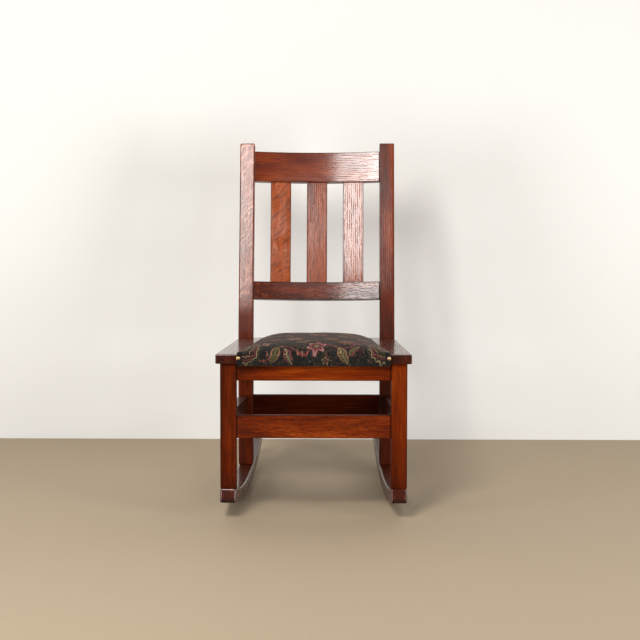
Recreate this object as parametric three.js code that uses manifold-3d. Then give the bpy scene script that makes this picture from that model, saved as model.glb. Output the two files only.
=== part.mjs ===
// Armless rocking chair: oak frame on two curved runners, slatted back, upholstered seat.
// Millimetres, +Z up, the front faces -Y. The origin is on the floor under the middle of the
// runners' length, where the chair's own box has its centre.

import * as THREE from "three";
import { mergeVertices } from "three/addons/utils/BufferGeometryUtils.js";
import Module from "manifold-3d";

const wasm = await Module();
wasm.setup();

// Driving dimensions
const seatHeight = 376; // top of the seat boards at the front legs
const seatWidth = 444.5; // across the seat boards at the front
const seatLean = THREE.MathUtils.degToRad(4); // the frame leans back at rest
const legInset = 10.25; // outer faces of the front legs inside the boards' edges
const rearNarrowing = 39; // the posts' outer faces stand closer than the front legs'
const legToPost = 383; // front face of the front leg to front face of the rear post
const legSize = 36.5; // legs and posts are square
const postRake = THREE.MathUtils.degToRad(13.3); // back posts above the seat
const postRise = 494.5; // raked length of the post above the seat
const postBendRadius = 180; // front face at the bend
const fit = 0.3; // gap of every joint
const overrun = 5; // how far a cutter passes through
const postBendFacets = 6;

// Runners
const runnerLength = 660;
const runnerWidth = 36.5;
const runnerDepth = 33;
const runnerRadius = 1200; // sole
const runnerRollPoint = 308; // from the nose to the point that rests on the floor
const runnerFootLength = 28; // the flat that the chair rests on
const footSetback = 14; // from the nose to the front leg's face where it would meet the floor
const runnerFacetsAhead = 10;
const runnerFacetsBehind = 18;

// Rails of the base
const railThickness = 19;
const railSetback = 3; // behind the faces of the legs
const seatRailHeight = 39;
const stretcherDrop = 140; // seat top to stretcher top
const stretcherHeight = 52.5;
const tenonLength = 16;
const tenonThickness = 8;
const tenonShoulder = 5; // above and below a tenon
const legTenonSize = 21;
const legTenonLength = 17;

// Seat frame boards
const boardThickness = 22;
const boardOverhang = 10; // ahead of the front legs
const sideBoardWidth = 76; // at the front
const rearSideOverhang = 1.5; // outside the rear posts
const frontBoardDepth = 58;
const rearBoardDepth = 78;
const boardTongueThickness = 7;
const boardTongueLength = 12;

// Back
const topRailHeight = 76;
const topRailBelowTop = 19.5;
const lowerRailHeight = 44.5;
const lowerRailRise = 100.5; // seat top to the rail's lower edge, along the post
const backRailThickness = 20;
const backRailSetback = 6; // behind the posts' front faces, at the ends
const backRailBow = 13; // how far the middle stands behind the ends
const backRailFacets = 14;
const slatCount = 3;
const slatWidth = 50.5;
const slatThickness = 9.5;
const slatTenonLength = 12;

// Corner blocks and screws
const blockPastLeg = 43.5; // along each rail, beyond the leg
const blockHeight = 30;
const screwShank = 4;
const screwHead = 8.5;
const screwHeadHeight = 3;
const screwPoint = 6;
const screwSlotWidth = 1.2;
const screwSlotDepth = 1.2;
const blockScrewLength = 38;
const blockScrewPastLeg = 6.8; // from the corner of the leg, both ways
const runnerScrewLength = 46;
const runnerScrewSink = 9; // head above the sole
const screwSides = 12;

// Webbing, hessian, pad and cover
const strapWidth = 50;
const strapThickness = 1.5;
const strapCount = 3;
const strapPitch = 84; // of the crosswise straps
const strapEdgeGap = 8; // from the last crossing to the side board
const strapHold = 11; // what lies on a board at each end
const hessianThickness = 0.8;
const hessianInset = 10; // inside the cover's edge
const coverInset = 47.75; // cover's side edges inside the boards' edges at the front
const coverNarrowing = 69; // front width to rear width
const coverDepth = 378; // front edge of the boards to the cover's rear edge
const coverThickness = 2;
const coverEdgeHeight = 6;
const coverCrown = 19; // above the edge height
const coverDrawIn = 3; // sides pull in between the corners
const coverLipDrop = 29; // seat top to the lower edge of the front lip
const coverLipClearance = 0.6; // the tucked lip stops ahead of the legs by this
const coverGridAcross = 22;
const coverGridDeep = 20;
const crownSideShares = { power: 3.8, fullness: 1.1 };
const crownFrontShares = { power: 4, fullness: 1.05 };

// Nails
const nailHead = 9.5;
const nailHeadRise = 3.2;
const nailShank = 1.8;
const nailLength = 13;
const nailInset = 4.25; // from the cover's side edge
const nailDrop = 8.5; // below the seat top
const nailSides = 14;
const nailDomeSteps = 4;

const oak = new THREE.MeshStandardMaterial({ color: 0x6b2a12, roughness: 0.42, metalness: 0 });
const hiddenOak = new THREE.MeshStandardMaterial({ color: 0x8a5a34, roughness: 0.75, metalness: 0 });
const tapestry = new THREE.MeshStandardMaterial({ color: 0x2a2728, roughness: 0.95, metalness: 0 });
const stuffing = new THREE.MeshStandardMaterial({ color: 0xcbbfa6, roughness: 1, metalness: 0 });
const jute = new THREE.MeshStandardMaterial({ color: 0xa88a5e, roughness: 0.95, metalness: 0 });
const hessian = new THREE.MeshStandardMaterial({ color: 0xb79a6b, roughness: 0.98, metalness: 0 });
const brass = new THREE.MeshStandardMaterial({ color: 0xd8b583, roughness: 0.28, metalness: 1 });
const steel = new THREE.MeshStandardMaterial({ color: 0x8b8a86, roughness: 0.4, metalness: 1 });

// Groups: the runners stand level, the frame leans back, and the back leans further
const chair = new THREE.Group();
const frame = new THREE.Group();
const back = new THREE.Group();
const footLean = seatHeight * Math.sin(seatLean); // the foot stands ahead of the seat by this
const frontLegY = footSetback + footLean - runnerLength / 2;
frame.position.set(0, frontLegY, seatHeight);
frame.rotation.x = -seatLean;
back.position.set(0, legToPost, 0);
back.rotation.x = -postRake;
chair.add(frame);
frame.add(back);
chair.updateMatrixWorld(true);

const halfFront = seatWidth / 2 - legInset;
const halfRear = halfFront - rearNarrowing / 2;
const sideTaper = Math.atan2(halfFront - halfRear, legToPost);
const legInner = halfFront - legSize;
const postInner = halfRear - legSize;
const boardUnderside = -boardThickness;
const sides = [
  { word: "left", sign: -1 },
  { word: "right", sign: 1 },
];

// Solids
function solidOf(geometry) {
  const bare = geometry.clone();
  bare.deleteAttribute("normal");
  bare.deleteAttribute("uv");
  const merged = mergeVertices(bare);
  return new wasm.Manifold(new wasm.Mesh({
    numProp: 3,
    vertProperties: new Float32Array(merged.attributes.position.array),
    triVerts: new Uint32Array(merged.index.array),
  }));
}

function geometryOf(solid) {
  const mesh = solid.getMesh();
  const geometry = new THREE.BufferGeometry();
  const stride = mesh.numProp;
  const places = new Float32Array((mesh.vertProperties.length / stride) * 3);
  for (let i = 0; i < mesh.vertProperties.length / stride; i += 1) {
    places.set(mesh.vertProperties.subarray(i * stride, i * stride + 3), i * 3);
  }
  geometry.setAttribute("position", new THREE.BufferAttribute(places, 3));
  geometry.setIndex(new THREE.BufferAttribute(new Uint32Array(mesh.triVerts), 1));
  geometry.computeVertexNormals();
  return geometry;
}

function moved(solid, matrix) {
  return solid.transform(matrix.elements);
}

// A solid drawn in one group, seen from another
function seenFrom(solid, home, viewer) {
  const matrix = viewer.matrixWorld.clone().invert().multiply(home.matrixWorld);
  return moved(solid, matrix);
}

function joined(...solids) {
  return solids.reduce((whole, next) => whole.add(next));
}

function cutBy(solid, cutters) {
  return cutters.reduce((left, cutter) => left.subtract(cutter), solid);
}

function place(name, solid, group, material) {
  const mesh = new THREE.Mesh(geometryOf(solid), material);
  mesh.name = name;
  group.add(mesh);
  return mesh;
}

function block(x0, x1, y0, y1, z0, z1) {
  const geometry = new THREE.BoxGeometry(Math.abs(x1 - x0), y1 - y0, z1 - z0);
  geometry.translate((x0 + x1) / 2, (y0 + y1) / 2, (z0 + z1) / 2);
  return solidOf(geometry);
}

// A plan outline in x and y, raised from z0 to z1
function raised(points, z0, z1) {
  const shape = new THREE.Shape(points.map(([x, y]) => new THREE.Vector2(x, y)));
  const geometry = new THREE.ExtrudeGeometry(shape, { depth: z1 - z0, bevelEnabled: false });
  geometry.translate(0, 0, z0);
  return solidOf(geometry);
}

// A side outline in y and z, run across from x0 to x1
function across(points, x0, x1) {
  const shape = new THREE.Shape(points.map(([y, z]) => new THREE.Vector2(y, z)));
  const geometry = new THREE.ExtrudeGeometry(shape, { depth: x1 - x0, bevelEnabled: false });
  const turn = new THREE.Matrix4().makeBasis(
    new THREE.Vector3(0, 1, 0),
    new THREE.Vector3(0, 0, 1),
    new THREE.Vector3(1, 0, 0),
  );
  geometry.applyMatrix4(turn);
  geometry.translate(x0, 0, 0);
  return solidOf(geometry);
}

// An upright round piece from a profile of radius and height
function turned(profile, sideCount, x, y, z) {
  const points = profile.map(([radius, height]) => new THREE.Vector2(radius, height));
  const geometry = new THREE.LatheGeometry(points, sideCount);
  geometry.rotateX(Math.PI / 2);
  geometry.translate(x, y, z);
  return solidOf(geometry);
}

function bar(radius, z0, z1, x, y) {
  return turned([[0, z0], [radius, z0], [radius, z1], [0, z1]], screwSides, x, y, 0);
}

// Place across the chair of a line that follows one side's taper, inset from its outer faces
function sideX(y, inset) {
  return halfFront - y * Math.tan(sideTaper) - inset / Math.cos(sideTaper);
}

function mirrored(points, sign) {
  return points.map(([x, y]) => [x * sign, y]);
}

// Runners: the sole is a row of flats on one arc, and the middle flat rests on the floor
const runnerSin = Math.sin(sideTaper);
const runnerRun = (runnerLength - runnerWidth * runnerSin) / Math.cos(sideTaper);
const runnerBack = runnerRun - runnerRollPoint;
const footAngle = Math.asin(runnerFootLength / 2 / runnerRadius);
const soleRadius = runnerRadius / Math.cos(footAngle);

function runnerArc(radius) {
  const noseAngle = Math.asin(runnerRollPoint / soleRadius);
  const tailAngle = Math.asin(runnerBack / soleRadius);
  const angles = [];
  for (let i = runnerFacetsAhead; i >= 0; i -= 1) {
    angles.push(-footAngle - (noseAngle - footAngle) * (i / runnerFacetsAhead));
  }
  for (let i = 0; i <= runnerFacetsBehind; i += 1) {
    angles.push(footAngle + (tailAngle - footAngle) * (i / runnerFacetsBehind));
  }
  return angles.map((angle) => [
    runnerRollPoint + radius * Math.sin(angle),
    runnerRadius - radius * Math.cos(angle),
  ]);
}

function runnerSolid(sign) {
  const sole = runnerArc(soleRadius);
  const top = runnerArc(soleRadius - runnerDepth);
  const [x0, x1] = sign > 0 ? [-runnerWidth, 0] : [0, runnerWidth];
  return across([...sole, ...top.reverse()], x0, x1);
}

// Everything below the runner's top and the joint's gap, wide enough to cut the legs off there
function underRunnerTop() {
  const top = runnerArc(soleRadius - runnerDepth - fit);
  const ahead = [-runnerDepth, top[0][1]];
  const behind = [runnerRun + runnerDepth, top[top.length - 1][1]];
  const [nearEdge, farEdge] = [[ahead[0], -runnerLength], [behind[0], -runnerLength]];
  return across([nearEdge, farEdge, behind, ...top.reverse(), ahead], -runnerLength, runnerLength);
}

// Where the runner's outer face starts, so that it stays flush with the leaning legs
const legFootY = frontLegY - footLean;

function runnerGroup(sign) {
  const group = new THREE.Group();
  const noseY = runnerWidth * runnerSin - runnerLength / 2;
  const noseX = halfFront + (legFootY - noseY) * Math.tan(sideTaper);
  group.position.set(sign * noseX, noseY, 0);
  group.rotation.z = sign * sideTaper;
  chair.add(group);
  group.updateMatrixWorld(true);
  return group;
}

// Legs and posts
const legBottom = -seatHeight; // level with the floor under the front legs

function frontLegPlace(sign) {
  return { x: sign * (halfFront - legSize / 2), y: legSize / 2 };
}

function rearPostPlace(sign) {
  return { x: sign * (halfRear - legSize / 2), y: legToPost + legSize / 2 };
}

function legStock(leg) {
  const half = legSize / 2;
  const top = boardUnderside - fit;
  return block(leg.x - half, leg.x + half, leg.y - half, leg.y + half, legBottom, top);
}

function postStock(leg) {
  return across(postOutline(), leg.x - legSize / 2, leg.x + legSize / 2);
}

function postOutline() {
  const sin = Math.sin(postRake);
  const cos = Math.cos(postRake);
  const tangent = postBendRadius * Math.tan(postRake / 2);
  const front = [];
  const rear = [];
  for (let i = 0; i <= postBendFacets; i += 1) {
    const angle = postRake * (i / postBendFacets);
    const centreY = legToPost + postBendRadius;
    const y = (radius) => centreY - radius * Math.cos(angle);
    const z = (radius) => radius * Math.sin(angle) - tangent;
    front.push([y(postBendRadius), z(postBendRadius)]);
    rear.push([y(postBendRadius - legSize), z(postBendRadius - legSize)]);
  }
  const top = [legToPost + postRise * sin, postRise * cos];
  const topRear = [top[0] + legSize * cos, top[1] - legSize * sin];
  return [
    [legToPost, legBottom],
    ...front,
    top,
    topRear,
    ...rear.reverse(),
    [legToPost + legSize, legBottom],
  ];
}

// Height of the runner's top under a leg, seen from the leaning frame. Each pass steps down the
// leg's axis to the top, which curves a little between one step and the next.
const seatingPasses = 3;

function runnerTopAt(group, leg) {
  const topRadius = runnerRadius - runnerDepth;
  let height = legBottom + runnerDepth;
  for (let pass = 0; pass < seatingPasses; pass += 1) {
    const world = frame.localToWorld(new THREE.Vector3(leg.x, leg.y, height));
    const local = group.worldToLocal(world);
    const along = local.y - runnerRollPoint;
    const top = runnerRadius - Math.sqrt(topRadius * topRadius - along * along);
    height += (top - local.z) / Math.cos(seatLean);
  }
  return height;
}

function legTenon(place, topZ, grow) {
  const half = legTenonSize / 2 + grow;
  return block(
    place.x - half, place.x + half,
    place.y - half, place.y + half,
    topZ - legTenonLength - grow, topZ + legTenonLength,
  );
}

// Screws: a tapered point, a plain shank and a countersunk head with a slot, head down
function screwProfile(length, grow) {
  return [
    [0, 0],
    [screwHead / 2 + grow, 0],
    [screwShank / 2 + grow, screwHeadHeight],
    [screwShank / 2 + grow, length - screwPoint],
    [0, length + grow],
  ];
}

function screw(length, x, y, z) {
  const body = turned(screwProfile(length, 0), screwSides, x, y, z);
  const slot = block(
    x - screwHead, x + screwHead,
    y - screwSlotWidth / 2, y + screwSlotWidth / 2,
    z - overrun, z + screwSlotDepth,
  );
  return body.subtract(slot);
}

function screwHole(length, x, y, z, wayOut) {
  const shaft = turned(screwProfile(length, fit), screwSides, x, y, z);
  return shaft.add(bar(screwHead / 2 + fit, z - wayOut, z + fit, x, y));
}

// Rails with a tenon at each end
function crossRail(halfLength, y0, z0, z1, grow) {
  const middle = y0 + railThickness / 2;
  const body = block(-halfLength, halfLength, y0, y0 + railThickness, z0, z1);
  const reach = halfLength + fit + tenonLength + grow;
  const tenons = block(
    -reach, reach,
    middle - tenonThickness / 2 - grow, middle + tenonThickness / 2 + grow,
    z0 + tenonShoulder - grow, z1 - tenonShoulder + grow,
  );
  return body.add(tenons);
}

function sideRail(sign, z0, z1, grow) {
  const y0 = legSize + fit;
  const y1 = legToPost - fit;
  const strip = (from, to, near, far) => mirrored([
    [sideX(from, near), from],
    [sideX(to, near), to],
    [sideX(to, far), to],
    [sideX(from, far), from],
  ], sign);
  const body = raised(strip(y0, y1, railSetback, railSetback + railThickness), z0, z1);
  const cheek = (railThickness - tenonThickness) / 2;
  const tenon = raised(
    strip(
      y0 - tenonLength - grow, y1 + tenonLength + grow,
      railSetback + cheek - grow, railSetback + railThickness - cheek + grow,
    ),
    z0 + tenonShoulder - grow, z1 - tenonShoulder + grow,
  );
  return body.add(tenon);
}

const seatRailTop = boardUnderside - fit;
const seatRailBottom = seatRailTop - seatRailHeight;
const stretcherTop = -stretcherDrop;
const stretcherBottom = stretcherTop - stretcherHeight;
const levels = [
  { word: "seat_rail", z0: seatRailBottom, z1: seatRailTop },
  { word: "stretcher", z0: stretcherBottom, z1: stretcherTop },
];
const frontRailY = railSetback;
const rearRailY = legToPost + railSetback;

// Tenons only, grown by the joint's gap, as the cutters of the mortises
function railMortises() {
  const cutters = [];
  for (const { z0, z1 } of levels) {
    cutters.push(crossRail(legInner - fit, frontRailY, z0, z1, fit));
    cutters.push(crossRail(postInner - fit, rearRailY, z0, z1, fit));
    for (const { sign } of sides) cutters.push(sideRail(sign, z0, z1, fit));
  }
  return cutters;
}

// Back rails: curved in plan, hollow side to the front
const backHalf = postInner - fit;
const bowRadius = (backHalf * backHalf + backRailBow * backRailBow) / (2 * backRailBow);
const topRailTop = postRise - topRailBelowTop;
const topRailBottom = topRailTop - topRailHeight;
const lowerRailTop = lowerRailRise + lowerRailHeight;

function bowY(x, depth) {
  const radius = bowRadius + depth;
  return backRailSetback + backRailBow - bowRadius + Math.sqrt(radius * radius - x * x);
}

function backRail(z0, z1, grow) {
  const front = [];
  const rear = [];
  for (let i = 0; i <= backRailFacets; i += 1) {
    const x = backHalf * (2 * (i / backRailFacets) - 1);
    front.push([x, bowY(x, 0)]);
    rear.push([x, bowY(x, backRailThickness)]);
  }
  const body = raised([...front, ...rear.reverse()], z0, z1);
  const middle = bowY(backHalf, backRailThickness / 2);
  const reach = fit + tenonLength + grow;
  const ends = [-1, 1].map((sign) => {
    const from = backHalf - tenonLength / 2;
    const to = backHalf + reach;
    return block(
      sign > 0 ? from : -to, sign > 0 ? to : -from,
      middle - tenonThickness / 2 - grow, middle + tenonThickness / 2 + grow,
      z0 + tenonShoulder - grow, z1 - tenonShoulder + grow,
    );
  });
  return joined(body, ...ends);
}

// Slats stand evenly between the posts and turn with the bow of the rails
const slatGap = (2 * postInner - slatCount * slatWidth) / (slatCount + 1);

function slat(index, grow) {
  const x = (index - (slatCount - 1) / 2) * (slatWidth + slatGap);
  const geometry = new THREE.BoxGeometry(
    slatWidth + 2 * grow,
    slatThickness + 2 * grow,
    topRailBottom - lowerRailTop + 2 * slatTenonLength + 2 * grow,
  );
  geometry.rotateZ(-Math.asin(x / bowRadius));
  geometry.translate(x, bowY(x, backRailThickness / 2), (topRailBottom + lowerRailTop) / 2);
  return solidOf(geometry);
}

// Seat frame boards
const boardFront = -boardOverhang;
const boardRear = legToPost + legSize;
const boardHalfFront = seatWidth / 2;
const boardHalfRear = halfRear + rearSideOverhang;
const sideBoardInner = boardHalfFront - sideBoardWidth;

function boardInnerX(y) {
  return sideBoardInner - (y - boardFront) * Math.tan(sideTaper);
}

function sideBoard(sign) {
  const outline = mirrored([
    [boardInnerX(boardFront), boardFront],
    [boardHalfFront, boardFront],
    [boardHalfRear, legToPost - fit],
    [postInner - fit, legToPost - fit],
    [postInner - fit, boardRear],
    [boardInnerX(boardRear), boardRear],
  ], sign);
  return raised(outline, boardUnderside, 0);
}

function crossBoard(y0, y1, grow) {
  const strip = (from, to, reach) => {
    const [near, far] = [boardInnerX(from) + reach, boardInnerX(to) + reach];
    return [[-near, from], [near, from], [far, to], [-far, to]];
  };
  const middle = boardUnderside / 2;
  const half = boardTongueThickness / 2 + grow;
  const body = raised(strip(y0, y1, -fit), boardUnderside, 0);
  const [from, to] = [y0 + boardTongueLength - grow, y1 - boardTongueLength + grow];
  const outline = strip(from, to, boardTongueLength - fit + grow);
  return body.add(raised(outline, middle - half, middle + half));
}

const frontBoardY = [boardFront, boardFront + frontBoardDepth];
const rearBoardY = [boardRear - rearBoardDepth, boardRear];

// Corner blocks sit in the corners of the seat rails, notched round the leg
const blockTop = boardUnderside - fit;
const blockBottom = blockTop - blockHeight;
const legPastRail = legSize - railSetback - railThickness;
const blockReach = legPastRail + blockPastLeg;
const blockScrewInset = legPastRail + blockScrewPastLeg;

function cornerBlock(sign, atRear) {
  const railFace = atRear ? rearRailY - fit : frontRailY + railThickness + fit;
  const way = atRear ? -1 : 1;
  const inset = railSetback + railThickness + fit;
  const farY = railFace + way * blockReach;
  const outline = mirrored([
    [sideX(railFace, inset), railFace],
    [sideX(farY, inset), farY],
    [sideX(railFace, inset) - blockReach, railFace],
  ], sign);
  const solid = raised(outline, blockBottom, blockTop);
  const legX = atRear ? postInner : legInner;
  const legY = atRear ? legToPost : 0;
  const leg = block(
    sign > 0 ? legX - fit : -legX - legSize, sign > 0 ? legX + legSize : -legX + fit,
    legY - fit, legY + legSize + fit,
    blockBottom - overrun, blockTop + overrun,
  );
  return solid.subtract(leg);
}

function blockScrewPlace(sign, atRear) {
  const way = atRear ? -1 : 1;
  const railFace = atRear ? rearRailY : frontRailY + railThickness;
  const y = railFace + way * blockScrewInset;
  const x = sideX(y, railSetback + railThickness + blockScrewInset);
  return { x: sign * x, y };
}

// Webbing: each strap lies flat over a crossing and changes level between crossings
const strapLevel = fit + strapThickness / 2;
const weave = (strapThickness + fit) / 2;
const openingFront = frontBoardY[1];
const openingRear = rearBoardY[0];
const openingMiddle = (openingFront + openingRear) / 2;
const crossingHalf = strapWidth / 2 + strapThickness;

function strapPlaces(pitch) {
  return Array.from({ length: strapCount }, (_, i) => (i - (strapCount - 1) / 2) * pitch);
}

const crossPlaces = strapPlaces(strapPitch).map((offset) => openingMiddle + offset);
const narrowest = boardInnerX(crossPlaces.at(-1) + strapWidth / 2);
const lengthReach = narrowest - strapEdgeGap - crossingHalf;
const lengthPlaces = strapPlaces(2 * lengthReach / (strapCount - 1));

function strapPath(from, to, crossings, firstOver) {
  const path = [[from, strapLevel]];
  crossings.forEach((centre, i) => {
    const over = (i % 2 === 0) === firstOver;
    const level = strapLevel + (over ? weave : -weave);
    path.push([centre - crossingHalf, level], [centre + crossingHalf, level]);
  });
  path.push([to, strapLevel]);
  return path;
}

function strapOutline(path) {
  const upper = path.map(([along, level]) => [along, level + strapThickness / 2]);
  const lower = path.map(([along, level]) => [along, level - strapThickness / 2]);
  return [...lower, ...upper.reverse()];
}

// The strap stays level until it has left the board
function levelledEnds(path, edgeNear, edgeFar) {
  const [first, ...rest] = path;
  const last = rest.pop();
  const level = first[1];
  const near = [edgeNear, level];
  const far = [edgeFar, level];
  return [first, near, ...rest, far, last];
}

function lengthStrap(index) {
  const [from, to] = [openingFront - strapHold, openingRear + strapHold];
  const path = strapPath(from, to, crossPlaces, index % 2 === 0);
  const laid = levelledEnds(path, openingFront, openingRear);
  const x = lengthPlaces[index];
  return across(strapOutline(laid), x - strapWidth / 2, x + strapWidth / 2);
}

function crossStrap(index) {
  const y = crossPlaces[index];
  const edge = boardInnerX(y + strapWidth / 2);
  const reach = edge + strapHold;
  const path = strapPath(-reach, reach, lengthPlaces, index % 2 === 1);
  const laid = levelledEnds(path, -edge, edge);
  const solid = across(strapOutline(laid), -strapWidth / 2, strapWidth / 2);
  const turn = new THREE.Matrix4().makeRotationZ(-Math.PI / 2);
  turn.premultiply(new THREE.Matrix4().makeTranslation(0, y, 0));
  return moved(solid, turn);
}

// Cover and pad: one crowned form, drawn in at its sides, inset as asked
const coverFrontWidth = seatWidth - 2 * coverInset;
const coverRearWidth = coverFrontWidth - coverNarrowing;
const coverFront = boardFront - fit - coverThickness;
const coverRear = boardFront + coverDepth;
const coverLength = coverRear - coverFront;

function coverHalf(along) {
  return THREE.MathUtils.lerp(coverFrontWidth, coverRearWidth, along) / 2;
}

function crownShare(share, { power, fullness }) {
  return (1 - Math.abs(share) ** power) ** fullness;
}

function crownedForm(inset, bottom) {
  const places = [];
  const faces = [];
  const cols = coverGridAcross;
  const rows = coverGridDeep;
  const ease = (i, count) => Math.sin((i / count - 1 / 2) * Math.PI);
  for (let j = 0; j <= rows; j += 1) {
    const v = ease(j, rows);
    const drawRear = v > 0 ? 1 : 0;
    for (let i = 0; i <= cols; i += 1) {
      const u = ease(i, cols);
      const along = (v + 1) / 2;
      const half = coverHalf(along);
      const waist = coverDrawIn * (1 - v * v) * Math.abs(u);
      const bow = coverDrawIn * (1 - u * u) * drawRear * v;
      const x = u * (half - inset - waist);
      const y = (coverFront + coverRear) / 2 + v * (coverLength / 2 - inset) - bow;
      const crown = crownShare(u, crownSideShares) * crownShare(v, crownFrontShares);
      places.push(x, y, coverEdgeHeight - inset + coverCrown * crown);
    }
  }
  const at = (i, j) => j * (cols + 1) + i;
  for (let j = 0; j < rows; j += 1) {
    for (let i = 0; i < cols; i += 1) {
      faces.push(at(i, j), at(i + 1, j), at(i + 1, j + 1));
      faces.push(at(i, j), at(i + 1, j + 1), at(i, j + 1));
    }
  }
  const rim = [];
  for (let i = 0; i < cols; i += 1) rim.push(at(i, 0));
  for (let j = 0; j < rows; j += 1) rim.push(at(cols, j));
  for (let i = cols; i > 0; i -= 1) rim.push(at(i, rows));
  for (let j = rows; j > 0; j -= 1) rim.push(at(0, j));
  const base = places.length / 3;
  for (const corner of rim) places.push(places[corner * 3], places[corner * 3 + 1], bottom);
  const hub = places.length / 3;
  places.push(0, (coverFront + coverRear) / 2, bottom);
  rim.forEach((corner, k) => {
    const next = (k + 1) % rim.length;
    faces.push(corner, base + k, base + next);
    faces.push(corner, base + next, rim[next]);
    faces.push(hub, base + next, base + k);
  });
  const geometry = new THREE.BufferGeometry();
  geometry.setAttribute("position", new THREE.BufferAttribute(new Float32Array(places), 3));
  geometry.setIndex(faces);
  return solidOf(geometry);
}

// The cover's front wraps down over the board's edge and tucks under it
function coverLip(grow) {
  const front = coverFront - grow;
  const tuck = -coverLipClearance;
  const radius = coverEdgeHeight / 2;
  const outline = [
    [front + coverEdgeHeight, coverEdgeHeight],
    [front + radius / 2, coverEdgeHeight - radius / 2],
    [front, coverEdgeHeight - radius],
    [front, -coverLipDrop + radius],
    [front + radius, -coverLipDrop],
    [tuck, -coverLipDrop],
    [tuck, boardUnderside - fit],
    [boardFront - fit, boardUnderside - fit],
    [boardFront - fit, fit],
    [boardFront + coverEdgeHeight, fit],
  ];
  return across(outline, -coverFrontWidth / 2, coverFrontWidth / 2);
}

const hessianBottom = strapLevel + weave + strapThickness / 2 + fit;
const hessianTop = hessianBottom + hessianThickness;

function hessianSheet() {
  const inset = coverThickness + hessianInset;
  const y0 = coverFront + inset;
  const y1 = coverRear - inset - coverDrawIn;
  const half = (y) => coverHalf((y - coverFront) / coverLength) - inset - coverDrawIn;
  const outline = [[-half(y0), y0], [half(y0), y0], [half(y1), y1], [-half(y1), y1]];
  return raised(outline, hessianBottom, hessianTop);
}

function pad() {
  const inset = coverThickness + fit;
  const form = crownedForm(inset, boardUnderside);
  const below = block(
    -seatWidth, seatWidth, -coverLength, coverLength * 2, boardUnderside - overrun, hessianTop + fit,
  );
  return form.subtract(below);
}

function cover(nailHoles) {
  const outer = crownedForm(0, fit);
  const inner = crownedForm(coverThickness, boardUnderside);
  const cavity = inner.subtract(block(
    -seatWidth, seatWidth, boardFront - boardOverhang, boardFront + fit, boardUnderside, fit,
  ));
  return cutBy(joined(outer, coverLip(0)), [cavity, ...nailHoles]);
}

// Brass nails, driven backwards through the cover into the boards' front edge
const nailX = coverFrontWidth / 2 - nailInset;

function nailProfile(grow) {
  const radius = nailHead / 2;
  const dome = [];
  for (let i = 0; i <= nailDomeSteps; i += 1) {
    const angle = (Math.PI / 2) * (i / nailDomeSteps);
    dome.push([radius * Math.sin(angle), -fit - nailHeadRise * Math.cos(angle)]);
  }
  return [
    ...dome,
    [nailShank / 2 + grow, -fit],
    [nailShank / 2 + grow, nailLength - nailShank],
    [0, nailLength + grow],
  ];
}

function nail(sign, profile) {
  const points = profile.map(([radius, height]) => new THREE.Vector2(radius, height));
  const geometry = new THREE.LatheGeometry(points, nailSides);
  geometry.translate(sign * nailX, coverFront, -nailDrop);
  return solidOf(geometry);
}

function nailHole(sign) {
  const radius = nailShank / 2 + fit;
  return nail(sign, [[0, -overrun], [radius, -overrun], [radius, nailLength], [0, nailLength + fit]]);
}

// Assembly
const mortises = railMortises();
const backRails = [
  { name: "top_rail", z0: topRailBottom, z1: topRailTop },
  { name: "lower_back_rail", z0: lowerRailRise, z1: lowerRailTop },
];
const slatWords = ["left", "centre", "right"];
const slatMortises = slatWords.map((_, index) => slat(index, fit));
const backMortises = backRails.map(({ z0, z1 }) => seenFrom(backRail(z0, z1, fit), back, frame));
const postMortises = [...mortises, ...backMortises];

// One side: a runner, with a leg and a post tenoned and screwed to it
function makeSide({ word, sign }) {
  const group = runnerGroup(sign);
  const below = seenFrom(underRunnerTop(), group, frame);
  const uprights = [
    { end: "front", name: "leg", leg: frontLegPlace(sign), stock: legStock, sockets: mortises },
    { end: "rear", name: "post", leg: rearPostPlace(sign), stock: postStock, sockets: postMortises },
  ];
  let runner = runnerSolid(sign);
  for (const { end, name, leg, stock, sockets } of uprights) {
    const topZ = runnerTopAt(group, leg);
    const screwZ = topZ - runnerDepth + runnerScrewSink;
    const hole = screwHole(runnerScrewLength, leg.x, leg.y, screwZ, runnerDepth);
    const shaped = cutBy(stock(leg), [below, ...sockets]).add(legTenon(leg, topZ, 0));
    const fixing = screw(runnerScrewLength, leg.x, leg.y, screwZ);
    place(`${end}_${name}_${word}`, shaped.subtract(hole), frame, oak);
    place(`${end}_runner_screw_${word}`, fixing, frame, steel);
    runner = cutBy(runner, [
      seenFrom(legTenon(leg, topZ, fit), frame, group),
      seenFrom(hole, frame, group),
    ]);
  }
  place(`runner_${word}`, runner, group, oak);
}

sides.forEach(makeSide);

for (const { word, z0, z1 } of levels) {
  place(`front_${word}`, crossRail(legInner - fit, frontRailY, z0, z1, 0), frame, oak);
  place(`rear_${word}`, crossRail(postInner - fit, rearRailY, z0, z1, 0), frame, oak);
  for (const side of sides) {
    place(`side_${word}_${side.word}`, sideRail(side.sign, z0, z1, 0), frame, oak);
  }
}

for (const { name, z0, z1 } of backRails) {
  place(name, cutBy(backRail(z0, z1, 0), slatMortises), back, oak);
}
slatWords.forEach((word, index) => place(`back_slat_${word}`, slat(index, 0), back, oak));

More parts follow.
